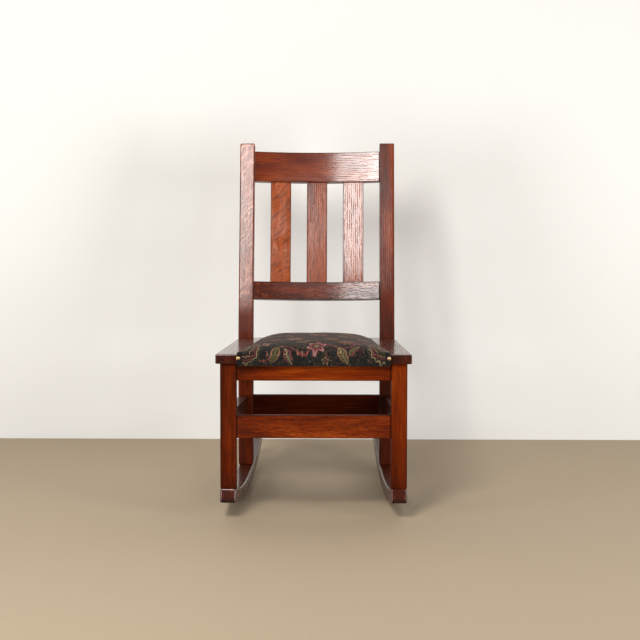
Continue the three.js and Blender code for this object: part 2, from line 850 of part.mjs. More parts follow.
const nailHoles = sides.map(({ sign }) => nailHole(sign));
const boardTongues = [frontBoardY, rearBoardY].map(([y0, y1]) => crossBoard(y0, y1, fit));
const blockHoles = [];
for (const atRear of [false, true]) {
  for (const { word, sign } of sides) {
    const end = atRear ? "rear" : "front";
    const { x, y } = blockScrewPlace(sign, atRear);
    const hole = screwHole(blockScrewLength, x, y, blockBottom, overrun);
    blockHoles.push(hole);
    place(`corner_block_${end}_${word}`, cornerBlock(sign, atRear).subtract(hole), frame, hiddenOak);
    place(`corner_block_screw_${end}_${word}`, screw(blockScrewLength, x, y, blockBottom), frame, steel);
  }
}
for (const { word, sign } of sides) {
  const board = cutBy(sideBoard(sign), [...boardTongues, ...blockHoles, ...nailHoles]);
  place(`seat_side_board_${word}`, board, frame, oak);
}
const frontBoard = cutBy(crossBoard(...frontBoardY, 0), [...blockHoles, ...nailHoles]);
const rearBoard = cutBy(crossBoard(...rearBoardY, 0), blockHoles);
place("seat_front_board", frontBoard, frame, hiddenOak);
place("seat_rear_board", rearBoard, frame, oak);

slatWords.forEach((word, index) => place(`webbing_long_${word}`, lengthStrap(index), frame, jute));
["front", "middle", "rear"].forEach((word, index) => {
  place(`webbing_cross_${word}`, crossStrap(index), frame, jute);
});
place("hessian_sheet", hessianSheet(), frame, hessian);
place("seat_pad", pad(), frame, stuffing);
place("seat_cover", cover(nailHoles), frame, tapestry);
for (const { word, sign } of sides) {
  place(`brass_nail_${word}`, nail(sign, nailProfile(0)), frame, brass);
}

export default chair;
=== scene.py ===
import math

import bmesh
import bpy
import numpy as np
from mathutils import Matrix, Vector


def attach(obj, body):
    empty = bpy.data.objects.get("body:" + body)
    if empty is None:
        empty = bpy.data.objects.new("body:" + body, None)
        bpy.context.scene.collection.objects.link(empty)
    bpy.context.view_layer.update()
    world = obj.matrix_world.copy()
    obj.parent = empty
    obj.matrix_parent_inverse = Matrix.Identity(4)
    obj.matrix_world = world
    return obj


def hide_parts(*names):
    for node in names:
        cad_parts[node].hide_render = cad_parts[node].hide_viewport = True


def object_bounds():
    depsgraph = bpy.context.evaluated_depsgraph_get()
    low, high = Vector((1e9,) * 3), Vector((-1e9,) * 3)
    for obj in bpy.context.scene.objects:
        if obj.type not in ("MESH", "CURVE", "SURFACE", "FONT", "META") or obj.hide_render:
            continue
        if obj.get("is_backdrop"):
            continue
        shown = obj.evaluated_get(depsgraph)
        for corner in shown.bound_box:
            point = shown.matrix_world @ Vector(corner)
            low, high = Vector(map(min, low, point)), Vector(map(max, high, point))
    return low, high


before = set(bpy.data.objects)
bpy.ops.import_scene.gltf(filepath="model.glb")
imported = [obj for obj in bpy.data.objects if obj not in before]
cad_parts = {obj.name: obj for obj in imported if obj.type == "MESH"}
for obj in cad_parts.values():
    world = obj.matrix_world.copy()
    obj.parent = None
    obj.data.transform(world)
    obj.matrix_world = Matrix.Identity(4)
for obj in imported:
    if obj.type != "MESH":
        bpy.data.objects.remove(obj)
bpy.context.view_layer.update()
scene = bpy.context.scene
print("frame loaded:", len(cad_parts), "nodes")


def srgb(red, green, blue):
    shares = [value / 255 for value in (red, green, blue)]
    linear = [s / 12.92 if s < 0.04045 else ((s + 0.055) / 1.055) ** 2.4 for s in shares]
    return (*linear, 1.0)


# Camera: a long lens, a little right of the middle and looking down
view = {"place": (0.0711, -4.4466, 1.0816), "down": 8.588, "turn": 0.783, "lens": 105}
lens = bpy.data.cameras.new("camera")
lens.lens = view["lens"]
lens.sensor_width = 36
camera = bpy.data.objects.new("camera", lens)
camera.location = view["place"]
camera.rotation_euler = (math.radians(90 - view["down"]), 0, math.radians(view["turn"]))
scene.collection.objects.link(camera)
scene.camera = camera


# Nodes: a wire is a socket that can be used in a sum, and any other node comes from make
def sumNode(operation, turned=False):
    # gives a method that adds a maths node; the wire is its last value where the sum is turned
    def act(self, *values):
        ends = (*values, self) if turned else (self, *values)
        return self.make("ShaderNodeMath", dict(enumerate(ends)), operation=operation)
    return act


class Wire:
    def __init__(self, tree, socket=None):
        self.tree = tree
        self.socket = socket

    def make(self, kind, inputs=None, out=0, **settings):
        node = self.tree.nodes.new(kind)
        for key, value in settings.items():
            setattr(node, key, value)
        for key, value in (inputs or {}).items():
            if isinstance(value, Wire):
                self.tree.links.new(value.socket, node.inputs[key])
            else:
                node.inputs[key].default_value = value
        return Wire(self.tree, node.outputs[out])

    def other(self, out):
        return Wire(self.tree, self.socket.node.outputs[out])

    __add__ = sumNode("ADD")
    __radd__ = sumNode("ADD", turned=True)
    __sub__ = sumNode("SUBTRACT")
    __rsub__ = sumNode("SUBTRACT", turned=True)
    __mul__ = sumNode("MULTIPLY")
    __rmul__ = sumNode("MULTIPLY", turned=True)
    __truediv__ = sumNode("DIVIDE")
    __rtruediv__ = sumNode("DIVIDE", turned=True)
    __pow__ = sumNode("POWER")
    __mod__ = sumNode("FLOORED_MODULO")
    __abs__ = sumNode("ABSOLUTE")
    sine = sumNode("SINE")
    cosine = sumNode("COSINE")
    arctan2 = sumNode("ARCTAN2")
    root = sumNode("SQRT")
    floor = sumNode("FLOOR")
    least = sumNode("MINIMUM")
    most = sumNode("MAXIMUM")

    def smooth(self, low, high):
        inputs = {"Value": self, "From Min": low, "From Max": high}
        return self.make("ShaderNodeMapRange", inputs, interpolation_type="SMOOTHSTEP")

    def split(self):
        x = self.make("ShaderNodeSeparateXYZ", {0: self})
        return x, x.other("Y"), x.other("Z")

    def vector(self, operation, value):
        return self.make("ShaderNodeVectorMath", {0: self, 1: value}, operation=operation)


def blend(share, first, second):
    inputs = {0: share, 6: first, 7: second}
    return share.make("ShaderNodeMix", inputs, out=2, data_type="RGBA")


def together(x, y, z=0.0):
    return x.make("ShaderNodeCombineXYZ", {0: x, 1: y, 2: z})


def cloud(vector, sizes, detail=2.0, rough=0.5, distortion=0.0):
    scaled = vector.vector("MULTIPLY", tuple(1 / size for size in sizes))
    inputs = {"Vector": scaled, "Scale": 1.0, "Detail": detail, "Roughness": rough}
    return vector.make("ShaderNodeTexNoise", {**inputs, "Distortion": distortion})


def newMaterial(name, **fixed):
    material = bpy.data.materials.new(name)
    material.use_nodes = True
    tree = material.node_tree
    tree.nodes.clear()
    shader = tree.nodes.new("ShaderNodeBsdfPrincipled")
    finish = tree.nodes.new("ShaderNodeOutputMaterial")
    tree.links.new(shader.outputs[0], finish.inputs[0])
    for label, value in fixed.items():
        shader.inputs[label.replace("_", " ")].default_value = value
    return material, shader, Wire(tree)


def feed(shader, label, wire):
    wire.tree.links.new(wire.socket, shader.inputs[label])


def bumped(height, distance, strength=1.0, over=None):
    inputs = {"Height": height, "Distance": distance, "Strength": strength}
    if over is not None:
        inputs["Normal"] = over
    return height.make("ShaderNodeBump", inputs)


# Oak: stock is the place in the board it was cut from, along, across and through, in metres
oakTones = {
    "deep": srgb(60, 17, 2),
    "mid": srgb(119, 39, 2),
    "warm": srgb(170, 73, 9),
    "pore": srgb(26, 7, 3),
    "flake": srgb(198, 104, 56),
    # rim darkens stained end grain, and is also the painted shade along eased edges
    "rim": srgb(30, 9, 4),
}
# What a board's look may change: sizes are in mm, and the rest are shares from 0 to about 1
plainLook = {
    # Painted light and shade: one pair tilts the tone from end to end and from side to side, and
    # another setting darkens both ends of a piece, where less light falls
    "seed": 0, "tone": 0.5, "shadeDrift": (0.0, 0.0), "fade": 0.0,
    "ringWidth": 2.6, "pith": (90, 60), "slope": 0.0, "wander": 8, "ripple": 1.6,
    "streak": 0.45, "dash": 0.5, "line": 0.25, "ends": 0.66, "shade": 0.0, "pale": 0.0,
    "flake": 0.25, "flakeTilt": 18, "flakeSize": (11, 2.2), "flakeFrom": -9.0, "patchy": 0.0,
    "rough": 0.42, "shine": 0.12, "coat": 0.4, "haze": 0.15, "index": 1.66,
    "clearSide": 0.0, "topOnly": 0.0,
}
bareLook = {"coat": 0.0, "shine": 0.06}
combedLook = {"coat": 1.0, "line": 1.0, "ripple": 0.6, "wander": 3}


def oak(name, half, **look):
    look = {**plainLook, **look}
    material, shader, start = newMaterial(
        name, Coat_Roughness=look["haze"], Coat_IOR=look["index"],
        Specular_IOR_Level=look["shine"])
    stock = start.make("ShaderNodeAttribute", out="Vector", attribute_name="stock")
    shift = (look["seed"] * 733.0, look["seed"] * 57.0, look["seed"] * 31.0)
    inputs = {"Vector": stock, "Location": shift, "Scale": (1000.0, 1000.0, 1000.0)}
    place = start.make("ShaderNodeMapping", inputs)
    wander = (cloud(place, (260, 60, 60)) - 0.5) * look["wander"]
    grain = place.vector("ADD", together(wander * 0.0, wander, wander * 0.7))
    along, across, through = grain.split()
    fibre = cloud(grain, (55, 0.85, 0.85), 3, 0.62)
    broad = cloud(grain, (170, 7, 7), 2)

    # Growth rings round a far pith, with rows of open pores in each
    seedY = look["pith"][0] - shift[1]
    seedZ = look["pith"][1] - shift[2]
    reachY = across + along * look["slope"] + (seedY - shift[0] * look["slope"])
    reachZ = through + seedZ
    ring = (reachY * reachY + reachZ * reachZ).root() / look["ringWidth"] + broad * look["ripple"]
    early = abs(ring % 1.0 - 0.5).smooth(0.12, 0.42)
    pores = cloud(grain, (8, 0.42, 0.42), 1.5).smooth(0.56, 0.70) * (0.25 + 0.75 * early)

    # Ray flakes: short silky ribbons across the grain, in patches
    turn = start.make("ShaderNodeMapping", {
        "Vector": place, "Rotation": (0, 0, math.radians(look["flakeTilt"]))})
    size = look["flakeSize"]
    ribbon = cloud(turn, (size[0], size[1], 26), 1.6, 0.5, 0.5).smooth(0.54, 0.66)
    patch = cloud(place, (70, 22, 40), 1).smooth(0.36, 0.56)
    x, y, z = stock.split()
    span = x.smooth(look["flakeFrom"], look["flakeFrom"] + 0.06)
    flake = ribbon * patch * span * look["flake"]

    # Painted light and shade: the tone is tilted along and across the piece, and darkened towards
    # both ends
    shadeDrift = x * (look["shadeDrift"][0] / half[0]) + y * (look["shadeDrift"][1] / half[1])
    shadeDrift = shadeDrift - x * x * (look["fade"] / half[0] ** 2)
    tone = (cloud(place, (210, 34, 34), 3, 0.6) * 0.7 + 0.15) + shadeDrift + (look["tone"] - 0.5)
    colour = blend(tone.smooth(0.34, 0.56), oakTones["deep"], oakTones["mid"])
    colour = blend(tone.smooth(0.50, 0.74), colour, oakTones["warm"])
    streak = cloud(grain, (80, 1.9, 1.9), 2.5, 0.65)
    colour = blend(streak.smooth(0.53, 0.38) * look["streak"], colour, oakTones["deep"])
    colour = blend(streak.smooth(0.56, 0.72) * look["streak"] * 0.7, colour, oakTones["warm"])
    colour = blend((1 - fibre).smooth(0.36, 0.66) * 0.42, colour, oakTones["deep"])
    colour = blend(early * 0.34, colour, oakTones["deep"])
    dash = cloud(grain, (16, 1.4, 1.4), 2.5, 0.6).smooth(0.49, 0.59) * look["dash"]
    colour = blend(dash * 0.7, colour, oakTones["deep"])
    colour = blend((flake * 0.62).most(look["pale"]), colour, oakTones["flake"])
    dark = cloud(turn, (size[0] * 1.3, size[1] * 1.2, 31), 2, 0.55, 0.4).smooth(0.50, 0.62)
    colour = blend(dark * look["shade"], colour, oakTones["deep"])
    colour = blend(pores * 0.75, colour, oakTones["pore"])

    # Painted shade: the eased edges are darkened to stand in for the dark they reflect; end grain
    # drinks the stain
    edge = (half[1] - abs(y)) + (half[2] - abs(z))
    rim = edge.smooth(0.0032, 0.0004)
    ends = (half[0] - abs(x)).smooth(0.0022, 0.0002)
    colour = blend(rim * 0.6, colour, oakTones["rim"])
    colour = blend(ends * look["ends"], colour, oakTones["rim"])
    feed(shader, "Base Color", colour)

    rough = look["rough"] + (fibre - 0.5) * 0.22 + pores * 0.16 - flake * 0.10 + ends * 0.16
    feed(shader, "Roughness", rough)
    lines = early * cloud(grain, (28, 2.6, 2.6), 1).smooth(0.34, 0.58) * look["line"]
    dull = pores.most(streak.smooth(0.50, 0.36) * 0.35).most(dash).most(lines) * 0.9
    silky = (1 - 0.2 * look["flake"] + flake * 0.5) * (1 - (1 - patch) * look["patchy"])
    side = y.smooth(half[1] * 0.5, half[1] * 0.8) * look["clearSide"]
    under = (1 - z.smooth(half[2] * 0.7, half[2] * 0.9)) * look["topOnly"]
    bare = (1 - ends * 0.7) * (1 - rim * 0.7) * (1 - side) * (1 - under) * (0.1 + 0.9 * span)
    gloss = (1 - dull) * (0.75 + 0.25 * fibre) * silky * bare * look["coat"]
    feed(shader, "Coat Weight", gloss.least(1.0))
    height = fibre * 0.35 - pores * 0.9 + flake * 0.30
    planed = cloud(place, (95, 26, 26), 1)
    waves = bumped(planed, 0.0003)
    feed(shader, "Normal", bumped(height, 0.00016, 0.8, waves))
    return material


def inMillimetres(place):
    return place.make("ShaderNodeMapping", {"Vector": place, "Scale": (1000.0, 1000.0, 1000.0)})


# Cloths: the attribute gives the place on the cloth, across and along it, in metres
def clothPlace(start):
    return inMillimetres(
        start.make("ShaderNodeAttribute", out="Vector", attribute_name="cloth"))


def plainWeave(x, y, pitch):
    # height of over and under threads, from 0 to 1
    over = abs((x * (math.pi / pitch)).sine())
    under = abs((y * (math.pi / pitch)).sine())
    turn = ((x / pitch).floor() + (y / pitch).floor()) % 2.0
    return over * turn + under * (1 - turn)


def juteMaterial():
    material, shader, start = newMaterial(
        "jute_straps", Roughness=0.9, Specular_IOR_Level=0.2, Sheen_Weight=0.3)
    place = clothPlace(start)
    x, y = place.split()[:2]
    threads = plainWeave(x, y * 0.8, 1.3)
    tone = cloud(place, (9, 30, 9), 3)
    colour = blend(tone.smooth(0.3, 0.7), srgb(150, 120, 78), srgb(186, 158, 112))
    stripe = (abs(abs(x) - 17) - 2.2).smooth(0.5, -0.5)
    colour = blend(stripe * 0.8, colour, srgb(110, 42, 30))
    # Painted shade in the hollows between the threads
    colour = blend((1 - threads) * 0.55, colour, srgb(70, 52, 32))
    feed(shader, "Base Color", colour)
    feed(shader, "Normal", bumped(threads, 0.0005, 0.8))
    return material


def hessianMaterial():
    material, shader, start = newMaterial(
        "hessian_cloth", Roughness=0.95, Specular_IOR_Level=0.2, Sheen_Weight=0.3)
    place = clothPlace(start)
    wander = (cloud(place, (30, 30, 30), 2) - 0.5) * 3.0
    x, y = place.split()[:2]
    threads = plainWeave(x + wander, y + wander, 1.9)
    tone = cloud(place, (4, 60, 9), 3)
    colour = blend(tone.smooth(0.3, 0.7), srgb(168, 138, 92), srgb(205, 178, 130))
    # Painted shade in the gaps between the threads
    colour = blend((1 - threads).smooth(0.35, 0.9) * 0.75, colour, srgb(74, 56, 36))
    feed(shader, "Base Color", colour)
    feed(shader, "Normal", bumped(threads, 0.0006, 0.8))
    return material


def metalMaterial(name, size, dark, light, rough, worn=0.0):
    material, shader, start = newMaterial(name, Metallic=1.0, Roughness=rough)
    place = start.make("ShaderNodeTexCoord", out="Object")
    patches = cloud(place, (size, size, size), 3)
    feed(shader, "Base Color", blend(patches.smooth(0.35, 0.7), dark, light))
    if worn:
        feed(shader, "Roughness", rough + patches * worn)
    return material


def plainOakMaterial():
    material, shader, start = newMaterial("plain_oak", Roughness=0.72, Specular_IOR_Level=0.3)
    place = inMillimetres(start.make("ShaderNodeTexCoord", out="Object"))
    broad = cloud(place, (120, 16, 16), 3)
    y, z = place.split()[1:]
    ring = (y * 0.32 + z * 0.5 + broad * 9) % 1.0
    fibre = cloud(place, (40, 0.9, 0.9), 3, 0.6)
    colour = blend(broad.smooth(0.3, 0.7), srgb(120, 82, 50), srgb(158, 116, 74))
    colour = blend(abs(ring - 0.5).smooth(0.2, 0.5) * 0.4, colour, srgb(92, 58, 34))
    colour = blend((1 - fibre).smooth(0.4, 0.75) * 0.35, colour, srgb(70, 44, 26))
    feed(shader, "Base Color", colour)
    feed(shader, "Normal", bumped(fibre, 0.0002, 0.6))
    return material


# Tapestry: generic blossoms, leaves and scrolls on a dark ground, repeated every tile
def motifFrame(place, centre, degrees):
    x, y = place.split()[:2]
    cos, sin = math.cos(math.radians(degrees)), math.sin(math.radians(degrees))
    dx, dy = x - centre[0], y - centre[1]
    return dx * cos + dy * sin, dy * cos - dx * sin


def leaf(colour, place, centre, degrees, length, width, tones):
    # a pointed leaf with a darker vein on its middle line and slanting side veins
    rim, fill, vein = tones
    a, b = motifFrame(place, centre, degrees)
    t = a / length + 0.5
    belly = (t * (1 - t) * 4).most(0.0) ** 0.8 * (width / 2)
    near = abs(b) / belly.most(0.01)
    body = blend(near.smooth(0.62, 0.74), fill, rim)
    spine = abs(b).smooth(1.3, 0.9)
    veins = abs((t * 7 - near * 0.9) % 1.0 - 0.5).smooth(0.16, 0.1) * near.smooth(0.66, 0.6)
    body = blend(spine.most(veins), body, vein)
    return blend(near.smooth(1.03, 0.97), colour, body)


def blossom(colour, place, centre, radius, petals, tones):
    # a round flower with rings of colour and gaps between its petals
    rim, middle, inner, heart = tones
    a, b = motifFrame(place, centre, 17)
    reach = (a * a + b * b).root()
    wave = (b.arctan2(a) * petals).cosine()
    near = reach / (radius * (0.80 + 0.20 * wave))
    body = blend(near.smooth(0.74, 0.80), middle, rim)
    body = blend(near.smooth(0.55, 0.48), body, inner)
    body = blend((near - wave * 0.12).smooth(0.26, 0.2), body, heart)
    gap = wave.smooth(-0.82, -0.93) * near.smooth(0.3, 0.4)
    body = blend(gap, body, inner)
    return blend(near.smooth(1.03, 0.97), colour, body)


def scroll(colour, place, centre, degrees, rise, wave, thick, tones):
    # a wandering stem with small paired leaves
    stem, bud = tones
    a, b = motifFrame(place, centre, degrees)
    off = b - (a * (2 * math.pi / wave)).sine() * rise
    line = abs(off).smooth(thick + 0.4, thick - 0.2)
    leaflet = abs(off) - 4.2 * abs((a * (math.pi / 11)).sine()) ** 3 * (0.7 + 0.3 * (a / 7).sine())
    buds = leaflet.smooth(0.3, -0.3) * abs(off).smooth(0.9, 1.3)
    colour = blend(buds, colour, bud)
    return blend(line, colour, stem)


def edgeBands(colour, x, y, stray, tones):
    # nested scalloped lines beside the cloth's side edges
    across, along = (abs(x) - 158) / 42, (y - 20) / 58
    reach = (across * across + along * along).root() + stray * 0.30
    scallop = abs((along.arctan2(across) * 9).sine()) * 0.12 * reach
    step = (reach + scallop) * 7.5
    line = abs(step % 1.0 - 0.5).smooth(0.27, 0.17)
    which = step.floor() % 4.0
    ink = tones[0]
    for place in (1, 2, 3):
        ink = blend(which.smooth(place - 0.6, place - 0.4), ink, tones[place])
    band = (reach + scallop).smooth(1.10, 1.06)
    return blend(line * band, blend(band, colour, tones[4]), ink)


def curls(colour, place, size, steps, thick, inks):
    # thin nested lines that wander over the ground
    field = cloud(place, (size, size, 9), 1.0, 0.5, 0.8)
    line = abs((field * steps) % 1.0 - 0.5).smooth(thick * 1.6, thick)
    pick = cloud(place, (size * 1.7, size * 1.7, 7), 1)
    ink = blend(pick.smooth(0.44, 0.48), inks[0], inks[1])
    ink = blend(pick.smooth(0.54, 0.58), ink, inks[2])
    shown = cloud(place, (size * 1.6, size * 1.6, 5), 1).smooth(0.49, 0.55)
    return blend(line * shown, colour, ink)


def seeds(colour, place, size, reach, inks):
    # small scattered dots
    scaled = place.vector("MULTIPLY", (1 / size, 1 / size, 0.0))
    spots = place.make("ShaderNodeTexVoronoi", {"Vector": scaled, "Scale": 1.0})
    red, green = spots.other("Color").split()[:2]
    ink = blend(red.smooth(0.45, 0.55), inks[0], inks[1])
    return blend(spots.smooth(reach * 1.25, reach) * green.smooth(0.35, 0.4), colour, ink)


def tapestryMaterial():
    material, shader, start = newMaterial(
        "tapestry_cloth", Roughness=0.86, Specular_IOR_Level=0.2, Sheen_Weight=0.18,
        Sheen_Roughness=0.45)
    shader.inputs["Sheen Tint"].default_value = srgb(205, 186, 176)
    place = clothPlace(start)
    stray = (cloud(place, (16, 16, 16), 1) - 0.5) * 2.2
    rows = place.vector("SNAP", (400.0, 1.86, 1.0))
    jag = rows.make("ShaderNodeTexWhiteNoise", {"Vector": rows}, noise_dimensions="2D")
    shifted = place.vector("ADD", together(stray + (jag - 0.5) * 1.3, stray))
    cell = shifted.vector("SNAP", (0.62, 0.62, 1.0))
    tile = cell.make("ShaderNodeVectorMath", {
        0: cell, 1: (140.0, 128.0, 1.0), 2: (-140.0, -34.0, -1.0)}, operation="WRAP")
    x, y = cell.split()[:2]

    black, coal = srgb(5, 6, 8), srgb(14, 15, 18)
    tan, rose, olive = srgb(156, 112, 80), srgb(136, 60, 60), srgb(66, 64, 38)
    pink, beige, orange = srgb(186, 130, 124), srgb(166, 142, 100), srgb(160, 88, 46)
    slate, lime, wine = srgb(42, 46, 50), srgb(108, 102, 58), srgb(80, 26, 32)
    colour = blend(cloud(cell, (26, 18, 9), 2).smooth(0.35, 0.65), black, coal)
    colour = curls(colour, cell, 24, 7, 0.08, (wine, olive, slate))
    colour = curls(colour, cell, 19, 4, 0.06, (tan, rose, olive))
    colour = seeds(colour, cell, 9, 0.12, (beige, rose))
    stems = (rose, tan), (tan, olive), (wine, rose)
    colour = scroll(colour, tile, (0, 8), 8, 13, 92, 1.4, stems[0])
    colour = scroll(colour, tile, (10, 62), -6, 10, 71, 1.2, stems[1])
    colour = scroll(colour, tile, (0, 108), 4, 9, 83, 1.2, stems[2])
    leaves = [
        ((-88, -8), 62, 40, 19, (tan, olive, lime)),
        ((-58, -12), 118, 36, 18, (rose, slate, beige)),
        ((66, -10), 124, 42, 19, (tan, olive, beige)),
        ((92, 2), 38, 32, 15, (rose, olive, lime)),
        ((-24, 44), 24, 38, 17, (tan, slate, lime)),
        ((38, 86), 150, 42, 19, (orange, olive, beige)),
        ((-92, 84), 12, 36, 17, (rose, slate, beige)),
    ]
    for centre, degrees, length, width, tones in leaves:
        colour = leaf(colour, tile, centre, degrees, length, width, tones)
    blooms = [
        ((6, 12), 23, 6, (pink, rose, wine, beige)),
        ((-112, 30), 15, 5, (beige, pink, rose, lime)),
        ((74, 42), 21, 9, (orange, slate, tan, wine)),
        ((-46, 82), 20, 6, (pink, rose, beige, wine)),
        ((112, 100), 16, 5, (tan, rose, wine, beige)),
        ((26, -20), 9, 5, (beige, rose, wine, lime)),
    ]
    for centre, radius, petals, tones in blooms:
        colour = blossom(colour, tile, centre, radius, petals, tones)
    fray = cloud(cell, (24, 24, 9), 1) - 0.5
    colour = edgeBands(colour, x, y, fray, (tan, rose, beige, olive, black))
    # Painted shade: the lower part of the cover's front face is darkened towards black
    colour = blend(y.smooth(2, -24) * 0.5, colour, black)
    corner = abs(x).smooth(160.5, 161.5) * y.smooth(5, 3)
    colour = blend(corner, colour, black)
    spotX, spotY = abs(x) - 167, y - 1
    colour = blend((spotX * spotX + spotY * spotY).root().smooth(3.4, 2.4), colour, tan)
    spark = cell.make("ShaderNodeTexWhiteNoise", {"Vector": cell}, noise_dimensions="2D")
    hatch = cloud(cell, (1.6, 5.0, 1.0), 1)
    colour = blend(hatch.smooth(0.60, 0.40) * 0.5, colour, black)
    colour = blend(spark * 0.4, colour, black)
    colour = blend((1 - spark).smooth(0.86, 1.0) * 0.14, colour, beige)
    feed(shader, "Base Color", colour)
    threads = plainWeave(*place.split()[:2], 0.62)
    feed(shader, "Normal", bumped(threads, 0.00022, 0.5))
    return material


# Pieces
def newPiece(name, mesh):
    piece = bpy.data.objects.new(name, mesh)
    scene.collection.objects.link(piece)
    return piece


def settle(piece, place=Matrix.Identity(4)):
    # works the modifiers in and puts the piece in its place
    bpy.context.view_layer.update()
    graph = bpy.context.evaluated_depsgraph_get()
    mesh = bpy.data.meshes.new_from_object(piece.evaluated_get(graph))
    piece.modifiers.clear()
    mesh.transform(place)
    mesh.name = piece.name
    piece.data = mesh
    return piece


def positions(mesh):
    flat = np.zeros(len(mesh.vertices) * 3)
    mesh.vertices.foreach_get("co", flat)
    return flat.reshape(-1, 3)


def unplaced(piece, place):
    # the points as they lay before the piece was put in its place, in metres
    inverse = np.array(place.inverted())
    return positions(piece.data) @ inverse[:3, :3].T + inverse[:3, 3]


def move(mesh, places):
    mesh.vertices.foreach_set("co", places.astype(np.float32).ravel())
    mesh.update()


def keep(mesh, label, values):
    attribute = mesh.attributes.new(label, "FLOAT_VECTOR", "POINT")
    attribute.data.foreach_set("vector", np.asarray(values, dtype=np.float32).ravel())


def dress(piece, *materials):
    piece.data.materials.clear()
    for material in materials:
        piece.data.materials.append(material)


def hand(piece, slot, *nodes):
    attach(piece, "root")
    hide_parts(*nodes)
    return piece


axes = {"x": 0, "y": 1, "z": 2}


def prism(name, outline, span, along, ease, place):
    # an outline in the other two axes, drawn out from span[0] to span[1] along this one and eased
    first, second = [i for i in range(3) if i != axes[along]]
    mesh = bpy.data.meshes.new(name)
    builder = bmesh.new()
    rings = []
    for level in span:
        ring = []
        for a, b in outline:
            point = [0, 0, 0]
            point[first], point[second], point[axes[along]] = a, b, level
            ring.append(builder.verts.new(point))
        rings.append(ring)
    builder.faces.new(rings[0])
    builder.faces.new(rings[1])
    count = len(outline)
    for i in range(count):
        after = (i + 1) % count
        builder.faces.new((rings[0][i], rings[0][after], rings[1][after], rings[1][i]))
    bmesh.ops.recalc_face_normals(builder, faces=builder.faces)
    for face in builder.faces:
        face.smooth = True
    builder.to_mesh(mesh)
    builder.free()
    piece = newPiece(name, mesh)
    bevel = piece.modifiers.new("ease", "BEVEL")
    bevel.width = ease
    bevel.segments = 3
    bevel.limit_method = "ANGLE"
    bevel.angle_limit = math.radians(32)
    bevel.harden_normals = True
    settle(piece, place)
    return piece


def box(x0, x1, y0, y1):
    return [(x0, y0), (x1, y0), (x1, y1), (x0, y1)]


def cutFrom(piece, place, order, look, figure=None):
    # writes where each point lay in its board, and gives the piece that board's finish; figure
    # is a function that straightens the board
    local = unplaced(piece, place)
    if figure is not None:
        local = figure(local)
    stock = local[:, [axes[letter] for letter in order]]
    low, high = stock.min(0), stock.max(0)
    stock = stock - (low + high) / 2
    keep(piece.data, "stock", stock)
    half = [float(value) for value in (high - low) / 2]
    dress(piece, oak(piece.name + "_oak", half, **look))


def oakPiece(name, node, solid, place, order, look, figure=None):
    # solid is what prism asks for, and order names the axes along, across and through the grain
    piece = prism(name, *solid, place)
    cutFrom(piece, place, order, look, figure)
    hand(piece, "stained_oak", node)


# The frame leans back on its runners, and the back leans further. Lengths in metres.
chair = {
    "seatHeight": 0.376,
    "lean": math.radians(4),
    "runnerLength": 0.660,
    "footSetback": 0.014,
    "halfFront": 0.212,
    "halfRear": 0.1925,
    "legToPost": 0.383,
    "leg": 0.0365,
    "board": 0.022,
    "footSunk": 0.0002,
    "rake": math.radians(13.3),
    "postRise": 0.4945,
    "bendRadius": 0.180,
    "joint": 0.0003,
    "legEase": 0.0016,
    "postEase": {"left": 0.0034, "right": 0.0018},
}
legSize = chair["leg"]
footLean = chair["seatHeight"] * math.sin(chair["lean"])
frontLegY = chair["footSetback"] + footLean - chair["runnerLength"] / 2
leaning = Matrix.Translation((0, frontLegY, chair["seatHeight"]))
leaning = leaning @ Matrix.Rotation(-chair["lean"], 4, "X")
raking = leaning @ Matrix.Translation((0, chair["legToPost"], 0))
raking = raking @ Matrix.Rotation(-chair["rake"], 4, "X")
taper = math.atan2(chair["halfFront"] - chair["halfRear"], chair["legToPost"])
sides = {"left": -1, "right": 1}

runner = {
    "width": 0.0365, "depth": 0.033, "radius": 1.200, "rollPoint": 0.308, "ease": 0.0045,
    "tipEase": 0.0048}
runnerRun = (chair["runnerLength"] - runner["width"] * math.sin(taper)) / math.cos(taper)


def runnerPlace(sign):
    noseY = runner["width"] * math.sin(taper) - chair["runnerLength"] / 2
    footY = frontLegY - footLean
    noseX = chair["halfFront"] + (footY - noseY) * math.tan(taper)
    turned = Matrix.Translation((sign * noseX, noseY, 0)) @ Matrix.Rotation(sign * taper, 4, "Z")
    return turned @ Matrix.Translation((-sign * runner["width"] / 2, 0, 0))


def runnerTop(sign, x, y):
    # local height at which a leg at x, y meets the runner's top
    inverse = runnerPlace(sign).inverted()
    height = -chair["seatHeight"]
    for _ in range(4):
        point = inverse @ (leaning @ Vector((x, y, height)))
        reach = point.y - runner["rollPoint"]
        inner = runner["radius"] - runner["depth"]
        top = runner["radius"] - math.sqrt(inner * inner - reach * reach)
        height += (top - point.z) / math.cos(chair["lean"])
    return height


# Legs and posts
legLooks = {
    # The legs are painted darker at the top and at the foot, a painted shade under the seat and
    # near the floor
    "left": {**bareLook, "seed": 3, "tone": 0.49, "flake": 0.08, "streak": 0.28, "dash": 0.3,
             "shadeDrift": (0.03, 0.0), "fade": 0.15},
    "right": {**bareLook, "seed": 8, "tone": 0.52, "flake": 0.06, "streak": 0.28, "dash": 0.3,
              "shadeDrift": (0.06, 0.0), "fade": 0.12},
}
postLooks = {
    # The posts are painted darker towards their feet, a painted shade below the seat
    "left": {"seed": 5, "tone": 0.53, "flake": 0.95, "flakeTilt": -42, "flakeSize": (14, 2.4),
             "coat": 1.0, "flakeFrom": -0.04, "shade": 0.3, "shadeDrift": (0.13, 0.0)},
    "right": {**combedLook, "seed": 11, "tone": 0.45, "flake": 0.15, "flakeTilt": 6,
              "ringWidth": 4.2, "dash": 0.3, "haze": 0.22, "flakeFrom": 0.0,
              "shadeDrift": (0.09, 0.08), "clearSide": 0.8},
}


